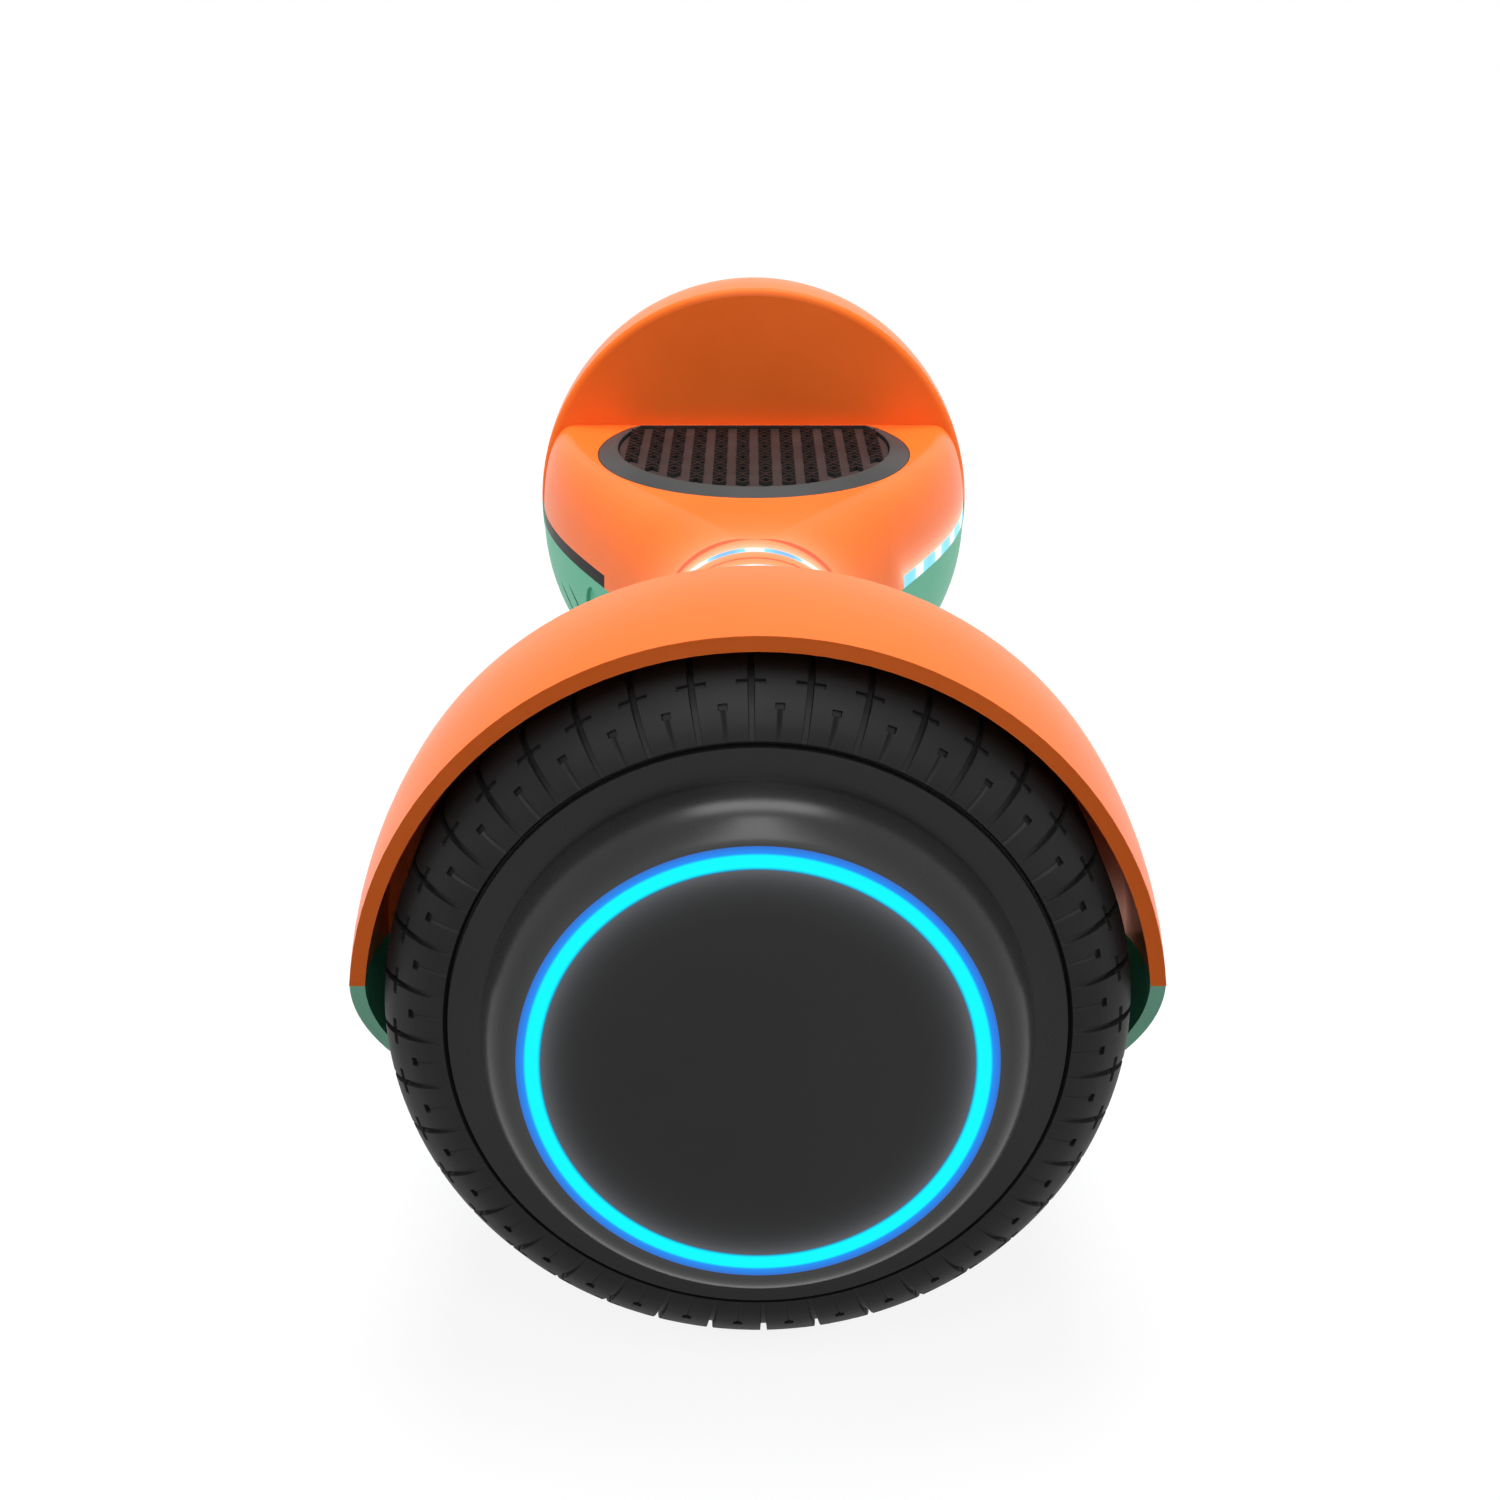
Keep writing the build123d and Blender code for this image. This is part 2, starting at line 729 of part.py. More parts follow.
with BuildPart() as frame_screws:
    clamp_foot = axle_height - clamp_gap - clamp_depth
    with BuildSketch(Plane.XY.offset(clamp_foot)) as clamp_heads:
        with Locations((clamp_start + clamp_length / 2, 0)):
            with GridLocations(clamp_length / 2, 2 * clamp_screw_at, 2, 2):
                RegularPolygon(screw_head, 6)
    extrude(amount=-screw_head_height)
    with BuildSketch(Plane.XY.offset(clamp_foot)):
        with Locations((clamp_start + clamp_length / 2, 0)):
            with GridLocations(clamp_length / 2, 2 * clamp_screw_at, 2, 2):
                Circle(screw_radius)
    extrude(amount=clamp_depth + clamp_gap + screw_reach - screw_end_gap)
    with BuildSketch(Plane.XY.offset(plate_bottom - post_sink)):
        with Locations(post_spots):
            RegularPolygon(screw_head, 6)
    extrude(amount=-screw_head_height)
    with BuildSketch(Plane.XY.offset(plate_bottom - post_sink)):
        with Locations(post_spots):
            Circle(screw_radius)
    extrude(amount=post_sink + plate_thickness + screw_reach - screw_end_gap)
write_pair(frame_screws.part, "frame_screws")

# Hub motor: fixed axle and stator inside a turning drum.
shoulder_start = bearing_in_at + bearing_width + moving_gap
shoulder_end = bearing_out_at - moving_gap
with BuildPart() as motor_axle:
    with BuildSketch(across(clamp_start)):
        Circle(axle_radius)
    extrude(amount=bearing_out_at + bearing_width - moving_gap - clamp_start)
    with BuildSketch(across(shoulder_start)):
        Circle(axle_shoulder)
    extrude(amount=shoulder_end - shoulder_start)
write_pair(motor_axle.part, "motor_axle")

stator_radius = magnet_face - air_gap
with BuildPart() as stator_core:
    with BuildSketch(across(stack_start)):
        Circle(stator_radius)
        Circle(axle_shoulder, mode=Mode.SUBTRACT)
        with PolarLocations(stator_radius - slot_tip - slot_deep / 2, slot_count):
            Rectangle(slot_deep, slot_wide, mode=Mode.SUBTRACT)
        with PolarLocations(stator_radius, slot_count):
            Rectangle(3 * slot_tip, slot_mouth, mode=Mode.SUBTRACT)
    extrude(amount=stack_length)
write_pair(stator_core.part, "stator_core")

with BuildPart() as stator_windings:
    for start, reach in ((stack_start, -coil_rise), (stack_start + stack_length, coil_rise)):
        with BuildSketch(across(start)):
            with PolarLocations(
                stator_radius - slot_tip - slot_deep / 2, slot_count, start_angle=180 / slot_count
            ):
                Rectangle(slot_deep, coil_wide)
        extrude(amount=reach)
write_pair(stator_windings.part, "stator_windings")

with BuildPart() as rotor_drum:
    with BuildSketch(across(rim_start)):
        Circle(rim_radius)
        Circle(rim_radius - rim_wall, mode=Mode.SUBTRACT)
    extrude(amount=rim_end - rim_start)
write_pair(rotor_drum.part, "rotor_drum")

with BuildPart() as rotor_magnets:
    with BuildSketch(across(stack_start)):
        with PolarLocations(magnet_face, magnet_count):
            Rectangle(magnet_depth - magnet_seat, magnet_width, align=(Align.MIN, Align.CENTER))
    extrude(amount=stack_length)
write_pair(rotor_magnets.part, "rotor_magnets")

with BuildPart() as motor_cover_inner:
    with BuildSketch(across(cover_in)):
        Circle(flange_radius)
        Circle(axle_radius + wall / 2, mode=Mode.SUBTRACT)
    extrude(amount=cover_thickness)
    with BuildSketch(across(rim_start)):
        Circle(cover_boss)
    extrude(amount=bearing_in_at + bearing_width - rim_start)
    with BuildSketch(across(bearing_in_at)):
        Circle(bearing_radius)
    extrude(amount=bearing_width, mode=Mode.SUBTRACT)
write_pair(motor_cover_inner.part, "motor_cover_inner")

with BuildPart() as motor_cover_outer:
    with BuildSketch(across(rim_end)):
        Circle(flange_radius)
    extrude(amount=cover_thickness)
    with BuildSketch(across(rim_end)):
        Circle(cover_boss)
    extrude(amount=bearing_out_at - rim_end)
    with BuildSketch(across(bearing_out_at)):
        Circle(bearing_radius)
    extrude(amount=bearing_width, mode=Mode.SUBTRACT)
write_pair(motor_cover_outer.part, "motor_cover_outer")

with BuildPart() as wheel_bearings:
    for start in (bearing_in_at, bearing_out_at):
        with BuildSketch(across(start)):
            Circle(bearing_radius)
            Circle(axle_radius + running_fit, mode=Mode.SUBTRACT)
        extrude(amount=bearing_width)
write_pair(wheel_bearings.part, "wheel_bearings")

with BuildPart() as tyre:
    with BuildSketch(Plane(origin=(tyre_centre, 0, axle_height), x_dir=(1, 0, 0), z_dir=(0, -1, 0))):
        with BuildLine():
            for hand in (1, -1):
                Polyline(
                    (0, rim_radius),
                    (hand * seat_half, rim_radius),
                    (hand * seat_half, flange_radius + moving_gap),
                    (hand * (tyre_width / 2 - bead_step), flange_radius + moving_gap),
                    (hand * (tyre_width / 2 - bead_step), bead_radius),
                    (hand * tyre_width / 2, bead_radius + bead_step),
                )
                Bezier(
                    (hand * tyre_width / 2, bead_radius + bead_step),
                    (hand * tyre_width / 2, tyre_radius - (tyre_radius - bead_radius) * shoulder_pull),
                    (hand * (crown_width / 2 + (tyre_width - crown_width) / 2 * shoulder_pull), tyre_radius),
                    (hand * crown_width / 2, tyre_radius),
                )
            Line((-crown_width / 2, tyre_radius), (crown_width / 2, tyre_radius))
        make_face()
    revolve(axis=axle_line)
write_pair(tyre.part, "tyre")

# Hub cap with its flat outer ring, bulged wall and the seat for the lit ring and centre disc.
with BuildPart() as hub_cap:
    seat_face = light_face - light_depth
    with BuildSketch(wheel_section):
        with BuildLine():
            Polyline(
                (light_face, light_outer + cap_lip),
                (light_face, light_outer),
                (seat_face, light_outer),
                (seat_face, 0),
                (seat_face - cap_wall, 0),
                (seat_face - cap_wall, light_outer - cap_wall),
                (cover_out + cap_wall, cap_step_radius - cap_wall),
                (cover_out, cap_step_radius - cap_wall),
                (cover_out, bead_radius - seam),
                (cap_ring_face, bead_radius - seam),
                (cap_ring_face, cap_step_radius),
            )
            Bezier(
                (cap_ring_face, cap_step_radius),
                (cap_ring_face + cap_bulge, cap_step_radius),
                (light_face - cap_lip, light_outer + cap_bulge),
                (light_face, light_outer + cap_lip),
            )
        make_face()
    revolve(axis=axle_line)
write_pair(hub_cap.part, "hub_cap")

with BuildPart() as hub_light_ring:
    with BuildSketch(across(seat_face)):
        Circle(light_outer)
        Circle(light_inner, mode=Mode.SUBTRACT)
    extrude(amount=light_depth)
write_pair(hub_light_ring.part, "hub_light_ring")

with BuildPart() as hub_disc:
    with BuildSketch(wheel_section):
        with BuildLine():
            Polyline(
                (light_face + disc_crown, 0),
                (seat_face, 0),
                (seat_face, light_inner),
                (light_face, light_inner),
            )
            Bezier(
                (light_face, light_inner),
                (light_face + disc_crown, light_inner / 2),
                (light_face + disc_crown, 0),
            )
        make_face()
    revolve(axis=axle_line)
write_pair(hub_disc.part, "hub_disc")

# Foot pad: a fixed bevelled rim and a mat that sinks a little to press the sensor board.
with BuildPart() as pad_rim:
    extrude(pad_outline(pad_floor, pad_gap), amount=pad_recess)
    loft(
        sections=[
            pad_outline(deck_height, pad_gap).faces()[0],
            pad_outline(deck_height + rim_rise, pad_gap + rim_width - rim_foot).faces()[0],
        ]
    )
    extrude(pad_outline(pad_floor, pad_gap + rim_width), amount=pad_recess + rim_rise, mode=Mode.SUBTRACT)
write_pair(pad_rim.part, "pad_rim")

with BuildPart() as pad_mat:
    extrude(pad_outline(mat_bottom, mat_inset), amount=mat_thickness)
    with BuildSketch(Plane.XY.offset(mat_bottom + mat_thickness)):
        with Locations((pad_centre, 0)):
            with GridLocations(0, strip_pitch, 1, strip_count):
                Rectangle(2 * pad_long, strip_width)
        add(pad_outline(mat_bottom + mat_thickness, mat_inset + rim_foot), mode=Mode.INTERSECT)
    extrude(amount=strip_rise)
    with BuildSketch(Plane.XY.offset(mat_bottom)):
        with Locations(plunger_spots):
            Circle(plunger_radius)
    extrude(amount=-plunger_length)
write_pair(pad_mat.part, "pad_mat")

with BuildPart() as sensor_board:
    with BuildSketch(Plane.XY.offset(board_bottom)):
        with Locations((pad_middle, 0)):
            RectangleRounded(plunger_spread_x + board_margin, plunger_spread_y + board_margin, wall)
    extrude(amount=board_thickness)
    with BuildSketch(Plane.XY.offset(plate_top)):
        with Locations((pad_middle, 0)):
            with GridLocations(plunger_spread_x - 2 * wall, plunger_spread_y - board_margin, 2, 2):
                Circle(wall)
    extrude(amount=board_bottom - plate_top)
    with BuildSketch(Plane.XY.offset(board_top)):
        with Locations(plunger_spots):
            Rectangle(2 * plunger_radius, 2 * plunger_radius)
    extrude(amount=switch_height)
write_pair(sensor_board.part, "sensor_board")

# Right half: battery pack in its strap. Left half: control board and heat sink.
with BuildPart() as battery_pack:
    with BuildSketch(across(battery_inboard)):
        with Locations((0, plate_bottom - axle_height - battery_height / 2)):
            RectangleRounded(battery_width, battery_height, battery_height / 4)
    extrude(amount=battery_length)
write_piece(battery_pack.part, "battery_pack")

strap_foot = battery_width / 2 + strap_thickness + strap_tab
with BuildPart() as battery_strap:
    with BuildSketch(across(battery_inboard + (battery_length - strap_width) / 2)):
        with Locations((0, plate_bottom - axle_height)):
            Rectangle(
                battery_width + 2 * strap_thickness,
                battery_height + strap_thickness,
                align=(Align.CENTER, Align.MAX),
            )
            Rectangle(2 * strap_foot, strap_thickness, align=(Align.CENTER, Align.MAX))
            Rectangle(battery_width, battery_height, align=(Align.CENTER, Align.MAX), mode=Mode.SUBTRACT)
    extrude(amount=strap_width)
write_piece(battery_strap.part, "battery_strap")

board_middle = -(battery_inboard + battery_length / 2)
power_board_at = plate_bottom - sink_height
with BuildPart() as control_board:
    with BuildSketch(Plane.XY.offset(power_board_at)):
        with Locations((board_middle, 0)):
            RectangleRounded(battery_length, battery_width, wall)
    extrude(amount=-board_thickness)
    with BuildSketch(Plane.XY.offset(power_board_at)):
        with Locations((board_middle, 0)):
            with GridLocations(battery_length - 3 * wall, battery_width - 3 * wall, 2, 2):
                Circle(wall)
    extrude(amount=sink_height)
    with BuildSketch(Plane.XY.offset(power_board_at - board_thickness)):
        with Locations((board_middle - battery_length / 4, -battery_width / 4)):
            with GridLocations(3 * capacitor_radius, 0, 2, 1):
                Circle(capacitor_radius)
        with Locations((board_middle + battery_length / 4, -battery_width / 4)):
            with GridLocations(4 * wall, 4 * wall, 2, 2):
                Rectangle(3 * wall, 2 * wall)
    extrude(amount=-capacitor_height)
write_piece(control_board.part, "control_board")

with BuildPart() as heat_sink:
    with BuildSketch(Plane.XZ.offset(sink_edge + sink_width - battery_width / 2)):
        with Locations((board_middle, power_board_at + sink_height)):
            Rectangle(sink_length, sink_height, align=(Align.CENTER, Align.MAX))
        with Locations((board_middle, power_board_at)):
            with GridLocations(sink_pitch, 0, sink_fins - 1, 1):
                Rectangle(sink_pitch / 2, sink_height, mode=Mode.SUBTRACT)
    extrude(amount=-sink_width)
write_piece(heat_sink.part, "heat_sink")

# Charge inlet behind its rubber flap, and the power button in its switch.
with BuildPart() as charge_inlet:
    with BuildSketch(rear_port):
        Circle(inlet_bore + inlet_wall)
    extrude(amount=-inlet_depth - inlet_wall)
    with BuildSketch(rear_port.offset(-wall)):
        Circle(inlet_bore + 2 * inlet_wall)
    extrude(amount=-inlet_wall)
    with BuildSketch(rear_port):
        Circle(inlet_bore)
    extrude(amount=-inlet_depth, mode=Mode.SUBTRACT)
    with BuildSketch(rear_port.offset(-inlet_depth)):
        with PolarLocations(inlet_bore / 2, 3, start_angle=90):
            Circle(contact_radius)
    extrude(amount=contact_length)
write_piece(charge_inlet.part, "charge_inlet")

flap_top = port_tall / 2 - cap_clearance
with BuildPart() as charge_flap:
    with BuildSketch(rear_port.offset(cap_clearance)):
        with Locations((0, flap_top)):
            Rectangle(
                port_width - 2 * cap_clearance,
                port_tall - 2 * cap_clearance,
                align=(Align.CENTER, Align.MAX),
            )
    extrude(amount=flap_thickness)
    fillet(charge_flap.edges().filter_by(Axis.X).group_by(Axis.Z)[-1], radius=0.49 * flap_thickness)
    fillet(charge_flap.edges().filter_by(Axis.Y).group_by(Axis.Z)[0], radius=2 * wall)
write_piece(charge_flap.part, "charge_flap")

with BuildPart() as power_button:
    with BuildSketch(rear_button.offset(-wall - moving_gap - button_flange)):
        Circle(button_radius)
    extrude(amount=button_flange + moving_gap + wall + button_rise)
    fillet(power_button.edges().group_by(Axis.Y)[0], radius=key_rounding)
    with BuildSketch(rear_button.offset(-wall - moving_gap)):
        Circle(button_radius + button_flange)
    extrude(amount=-button_flange)
write_piece(power_button.part, "power_button")

cup_depth = button_flange + button_travel + 2 * moving_gap
with BuildPart() as power_switch:
    with BuildSketch(rear_button.offset(-wall)):
        Circle(button_pocket_radius + wall)
    extrude(amount=-cup_depth - 2 * wall)
    with BuildSketch(rear_button.offset(-wall)):
        Circle(button_radius + button_flange + moving_gap)
    extrude(amount=-cup_depth, mode=Mode.SUBTRACT)
write_piece(power_switch.part, "power_switch")
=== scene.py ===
"""Self balancing board: two twisting halves with foot pads, fenders, hub motor wheels and lit rings."""

import math

import bpy
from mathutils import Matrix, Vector


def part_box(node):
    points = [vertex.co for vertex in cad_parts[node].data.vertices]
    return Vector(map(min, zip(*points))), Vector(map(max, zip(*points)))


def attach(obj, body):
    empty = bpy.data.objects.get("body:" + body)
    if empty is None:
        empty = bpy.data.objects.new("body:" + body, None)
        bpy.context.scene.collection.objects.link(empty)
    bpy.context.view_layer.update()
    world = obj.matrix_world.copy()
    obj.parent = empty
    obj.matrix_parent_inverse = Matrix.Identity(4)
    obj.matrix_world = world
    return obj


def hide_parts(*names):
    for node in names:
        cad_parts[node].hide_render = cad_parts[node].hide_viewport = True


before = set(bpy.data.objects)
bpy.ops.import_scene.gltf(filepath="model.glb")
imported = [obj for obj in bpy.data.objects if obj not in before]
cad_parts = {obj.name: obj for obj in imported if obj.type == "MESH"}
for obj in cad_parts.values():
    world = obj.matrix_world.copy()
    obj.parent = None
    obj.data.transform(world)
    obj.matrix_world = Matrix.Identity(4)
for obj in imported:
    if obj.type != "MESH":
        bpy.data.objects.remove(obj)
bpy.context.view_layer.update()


# Orange top shells: gloss injection-moulded plastic, one per half, screwed up from below.
# Fender arch, bulkhead and foot deck are one moulding, with a warm glow painted on it as emission beside the
# lit parts, for the light they throw.
def shader_of(material):
    return material.node_tree.nodes["Principled BSDF"]


def new_material(name, roughness, specular, metallic=0.0):
    """A material whose one shader has the values that are the same all over the piece."""
    material = bpy.data.materials.new(name)
    material.use_nodes = True
    shader = shader_of(material)
    shader.inputs["Roughness"].default_value = roughness
    shader.inputs["Specular IOR Level"].default_value = specular
    shader.inputs["Metallic"].default_value = metallic
    return material


def calculate(tree, operation, *values):
    """A Math node; each value is a number or the output of another node."""
    node = tree.nodes.new("ShaderNodeMath")
    node.operation = operation
    for socket, value in zip(node.inputs, values):
        if isinstance(value, (int, float)):
            socket.default_value = value
        else:
            tree.links.new(value, socket)
    return node.outputs["Value"]


def place_on_piece(tree):
    """X, Y and height above the axle of a surface point, in metres."""
    place = tree.nodes.new("ShaderNodeTexCoord")
    parts = tree.nodes.new("ShaderNodeSeparateXYZ")
    tree.links.new(place.outputs["Object"], parts.inputs["Vector"])
    rise = calculate(tree, "SUBTRACT", parts.outputs["Z"], axle_height)
    return parts.outputs["X"], parts.outputs["Y"], rise


def noise_on_piece(tree, scale):
    place = tree.nodes.new("ShaderNodeTexCoord")
    noise = tree.nodes.new("ShaderNodeTexNoise")
    noise.inputs["Scale"].default_value = scale
    noise.inputs["Detail"].default_value = noise_detail
    tree.links.new(place.outputs["Object"], noise.inputs["Vector"])
    return noise.outputs["Fac"]


def blend_colours(tree, factor, stops):
    """Colour ramp over a factor, from a list of (position, (red, green, blue))."""
    ramp = tree.nodes.new("ShaderNodeValToRGB")
    band = ramp.color_ramp.elements
    while len(band) < len(stops):
        band.new(0.5)
    for element, (position, colour) in zip(band, stops):
        element.position = position
        element.color = (*colour, 1)
    tree.links.new(factor, ramp.inputs["Fac"])
    return ramp.outputs["Color"]


def add_relief(material, scale, depth):
    """Fine open grain in the skin: depth is the height of its bumps in metres."""
    tree = material.node_tree
    relief = tree.nodes.new("ShaderNodeBump")
    relief.inputs["Strength"].default_value = 1.0
    relief.inputs["Distance"].default_value = depth
    tree.links.new(noise_on_piece(tree, scale), relief.inputs["Height"])
    tree.links.new(relief.outputs["Normal"], shader_of(material).inputs["Normal"])


def add_painted_glow(material, colour, strength):
    """Painted glow: emission on the piece beside a lit part, standing in for the light that part throws on
    it.
    """
    shader = shader_of(material)
    shader.inputs["Emission Color"].default_value = (*colour, 1)
    material.node_tree.links.new(strength, shader.inputs["Emission Strength"])


def cloudy_finish(
    name, deep, pale, roughness, specular=0.5, metallic=0.0, cloud=18.0, grain=1400.0, depth=4e-6
):
    """Moulded, cast or painted finish: a faint cloud in the colour and the gloss, and a fine skin."""
    material = new_material(name, roughness, specular, metallic)
    tree = material.node_tree
    shader = shader_of(material)
    colour = blend_colours(tree, noise_on_piece(tree, cloud), list(zip(cloud_edges, (deep, pale))))
    tree.links.new(colour, shader.inputs["Base Color"])
    patches = noise_on_piece(tree, gloss_patches * cloud)
    gloss = calculate(tree, "MULTIPLY_ADD", patches, gloss_swing, roughness - gloss_swing / 2)
    tree.links.new(gloss, shader.inputs["Roughness"])
    add_relief(material, grain, depth)
    return material


def finish(material, *names):
    """Give CAD nodes or finished pieces their material."""
    for name in names:
        mesh = bpy.data.objects[name].data
        mesh.materials.clear()
        mesh.materials.append(material)


def painted_glow_of_neck_ring(tree):
    """Mask of the painted glow: 1 beside the neck's lit ring and less further off, with a smaller share
    between the two rings.
    """
    length_out = calculate(tree, "ABSOLUTE", place_on_piece(tree)[0])
    off_ring = calculate(tree, "ABSOLUTE", calculate(tree, "SUBTRACT", length_out, ring_centre))
    off_ring = calculate(tree, "MAXIMUM", calculate(tree, "SUBTRACT", off_ring, ring_half), 0.0)
    faded = calculate(tree, "EXPONENT", calculate(tree, "MULTIPLY", off_ring, -1 / ring_glow_reach))
    outer_side = calculate(tree, "GREATER_THAN", length_out, ring_centre)
    share = calculate(tree, "MULTIPLY_ADD", outer_side, 1 - collar_share, collar_share)
    return calculate(tree, "MULTIPLY", faded, share)


def painted_glow_of_front_strip(tree):
    """Mask of the painted glow: 1 beside the front light strip and less with the distance from it, on the
    front side alone.
    """
    along, across, rise = place_on_piece(tree)
    length_out = calculate(tree, "ABSOLUTE", along)
    above = calculate(tree, "SUBTRACT", rise, strip_high.z - axle_height)
    before_start = calculate(tree, "SUBTRACT", strip_low.x, length_out)
    past_end = calculate(tree, "SUBTRACT", length_out, strip_high.x)
    beyond = calculate(tree, "MAXIMUM", calculate(tree, "MAXIMUM", before_start, past_end), 0.0)
    squares = [calculate(tree, "POWER", distance, 2.0) for distance in (above, beyond)]
    off_strip = calculate(tree, "SQRT", calculate(tree, "ADD", *squares))
    faded = calculate(tree, "EXPONENT", calculate(tree, "MULTIPLY", off_strip, -1 / strip_glow_reach))
    on_front = calculate(tree, "GREATER_THAN", across, strip_low.y - strip_glow_past)
    return calculate(tree, "MULTIPLY", faded, on_front)


tyre_low, tyre_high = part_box("right_tyre")
axle_height = (tyre_low.z + tyre_high.z) / 2
noise_detail = 3.0
cloud_edges = (0.35, 0.65)
gloss_patches, gloss_swing = 4, 0.08
ring_low, ring_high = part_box("right_neck_light_ring")
ring_centre = (ring_low.x + ring_high.x) / 2
ring_half = (ring_high.x - ring_low.x) / 2
# Reach and strength of the painted glow beside the neck's lit ring, and its smaller share between the two
# rings.
ring_glow_reach, ring_glow, collar_share = 0.0080, 0.62, 0.5
strip_low, strip_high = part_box("right_front_light_strip")
# Reach, strength and front-side limit of the painted glow beside the front light strip, then the warm white
# colour of both painted glows.
strip_glow_reach, strip_glow, strip_glow_past = 0.0038, 0.6, 0.003
painted_glow_colour = (1.0, 0.72, 0.60)

orange_moulding = cloudy_finish(
    "orange_moulding", (0.93, 0.165, 0.021), (0.97, 0.180, 0.026), roughness=0.30, specular=0.07
)
tree = orange_moulding.node_tree
# Painted glow: warm emission on the orange beside the neck ring and the front strip, for the light they
# throw.
ring_painted_glow = calculate(tree, "MULTIPLY", painted_glow_of_neck_ring(tree), ring_glow)
strip_painted_glow = calculate(tree, "MULTIPLY", painted_glow_of_front_strip(tree), strip_glow)
add_painted_glow(orange_moulding, painted_glow_colour, calculate(tree, "ADD", ring_painted_glow, strip_painted_glow))
finish(orange_moulding, "right_top_shell", "left_top_shell")

# Neck collars: short orange sleeves on the frame bosses, of the same moulding as the top shells.
# The two turn against each other and each is grooved for its lit ring.
# The collars carry the same painted glow beside their lit rings.
finish(orange_moulding, "right_neck_collar", "left_neck_collar")

# Green bottom shells: satin injection-moulded plastic, one per half, with the screw wells and vents.
# The right one holds the charge inlet and button; the left one has a shallow relief at the rear.
green_moulding = cloudy_finish(
    "green_moulding", (0.085, 0.42, 0.26), (0.105, 0.47, 0.29), roughness=0.40, specular=0.10
)
finish(green_moulding, "right_bottom_shell", "left_bottom_shell")


# Lit rings of the neck: milky diffusers over light strips, lit in cyan, blue and white runs.
# They are pressed into the collars' grooves.
def lit_finish(name, factor_of, stops):
    """Lit diffuser: its colour follows a factor worked out from the place on the piece."""
    material = new_material(name, roughness=0.3, specular=0.02)
    tree = material.node_tree
    shader = shader_of(material)
    shader.inputs["Base Color"].default_value = (*diffuser_body, 1)
    shader.inputs["Emission Strength"].default_value = 1.0
    tree.links.new(blend_colours(tree, factor_of(tree), stops), shader.inputs["Emission Color"])
    add_relief(material, scale=900.0, depth=3e-6)
    return material


def turn_on_neck(tree):
    """Angle from the top of the neck: 0 to 1 over an eighth of a turn and back over the next."""
    _, across, rise = place_on_piece(tree)
    angle = calculate(tree, "ARCTAN2", across, rise)
    return calculate(tree, "PINGPONG", calculate(tree, "MULTIPLY", angle, 4 / math.pi), 1.0)


diffuser_body = (0.02, 0.03, 0.03)
white_light = (1.0, 1.0, 1.0)
cyan_light = (0.30, 0.85, 1.0)
blue_light = (0.21, 0.58, 1.0)
neck_glow = lit_finish(
    "neck_light",
    turn_on_neck,
    [
        (0.0, white_light),
        (0.105, white_light),
        (0.135, cyan_light),
        (0.30, blue_light),
        (0.47, blue_light),
        (0.60, cyan_light),
        (0.64, white_light),
    ],
)
finish(neck_glow, "right_neck_light_ring", "left_neck_light_ring")


# Front light strips: clear cyan mouldings let into the front edge of each top shell.
# Round emitters behind them show as whiter runs, one about every 25 mm.
def step_along_strip(tree):
    """0 over an emitter and 1 midway to the next one."""
    length_out = calculate(tree, "ABSOLUTE", place_on_piece(tree)[0])
    step = calculate(tree, "DIVIDE", calculate(tree, "SUBTRACT", length_out, emitter_at), emitter_pitch)
    return calculate(tree, "PINGPONG", calculate(tree, "MULTIPLY", step, 2.0), 1.0)


emitter_at, emitter_pitch = 0.102, 0.0247
emitter_white, strip_cyan, gap_cyan = (0.94, 0.99, 1.0), (0.30, 0.83, 0.95), (0.22, 0.76, 0.92)
strip_glow_finish = lit_finish(
    "strip_light",
    step_along_strip,
    [(0.0, white_light), (0.30, emitter_white), (0.44, strip_cyan), (1.0, gap_cyan)],
)
finish(strip_glow_finish, "right_front_light_strip", "left_front_light_strip")


# Rear trim strips: plain gloss black mouldings with no light behind them.
# They are let into the rear edge of each top shell, opposite the light strips.
def grey(level):
    return (level, level, level)


gloss_black = cloudy_finish("gloss_black", grey(0.003), grey(0.005), roughness=0.3, specular=0.02)
finish(gloss_black, "right_rear_trim_strip", "left_rear_trim_strip")


# Foot pad rims: moulded grey rubber frames with a bevelled edge.
# Each is seated in the recess of its half's deck, and stays still when the mat sinks.
def rubber_finish(name, deep, pale, roughness=0.62, specular=0.25, depth=2.5e-5):
    """Moulded rubber: a dusty cloud in the colour and a fine open grain."""
    return cloudy_finish(name, deep, pale, roughness, specular, cloud=40.0, grain=1100.0, depth=depth)


rim_rubber = rubber_finish("rim_rubber", grey(0.030), grey(0.040), roughness=0.5, specular=0.14)
finish(rim_rubber, "right_pad_rim", "left_pad_rim")


# Foot pad mats: dark brown rubber sheets that fill the rims and sink a little under the foot.
# Each is one moulding with a plain oval outline, cut straight beside the bulkhead.
def mat_outline(side):
    """Centre, half length, half width and straight end of the oval, counted out from the neck."""
    low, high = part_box(f"{side}_pad_mat")
    half_long = (high.x - low.x) * half_long_share
    half_wide = (high.y - low.y) / 2
    straight_end = max(abs(low.x), abs(high.x))
    return straight_end - (high.x - low.x) + half_long, half_long, half_wide, straight_end


def mat_top(side):
    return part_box(f"{side}_pad_rim")[1].z - sheet_below_rim


def settle_at_origin(piece):
    """Put a finished piece's place into its mesh."""
    bpy.ops.object.select_all(action="DESELECT")
    piece.select_set(True)
    bpy.context.view_layer.objects.active = piece
    bpy.ops.object.transform_apply(location=True, rotation=True, scale=True)


sides = {"right": 1, "left": -1}
half_long_share = 0.66
sheet_below_rim = 0.0011
sheet_thickness, sheet_gap = 0.0022, 0.0002
sheet_rounding, sheet_crease = 0.0006, 40
outline_steps = 160

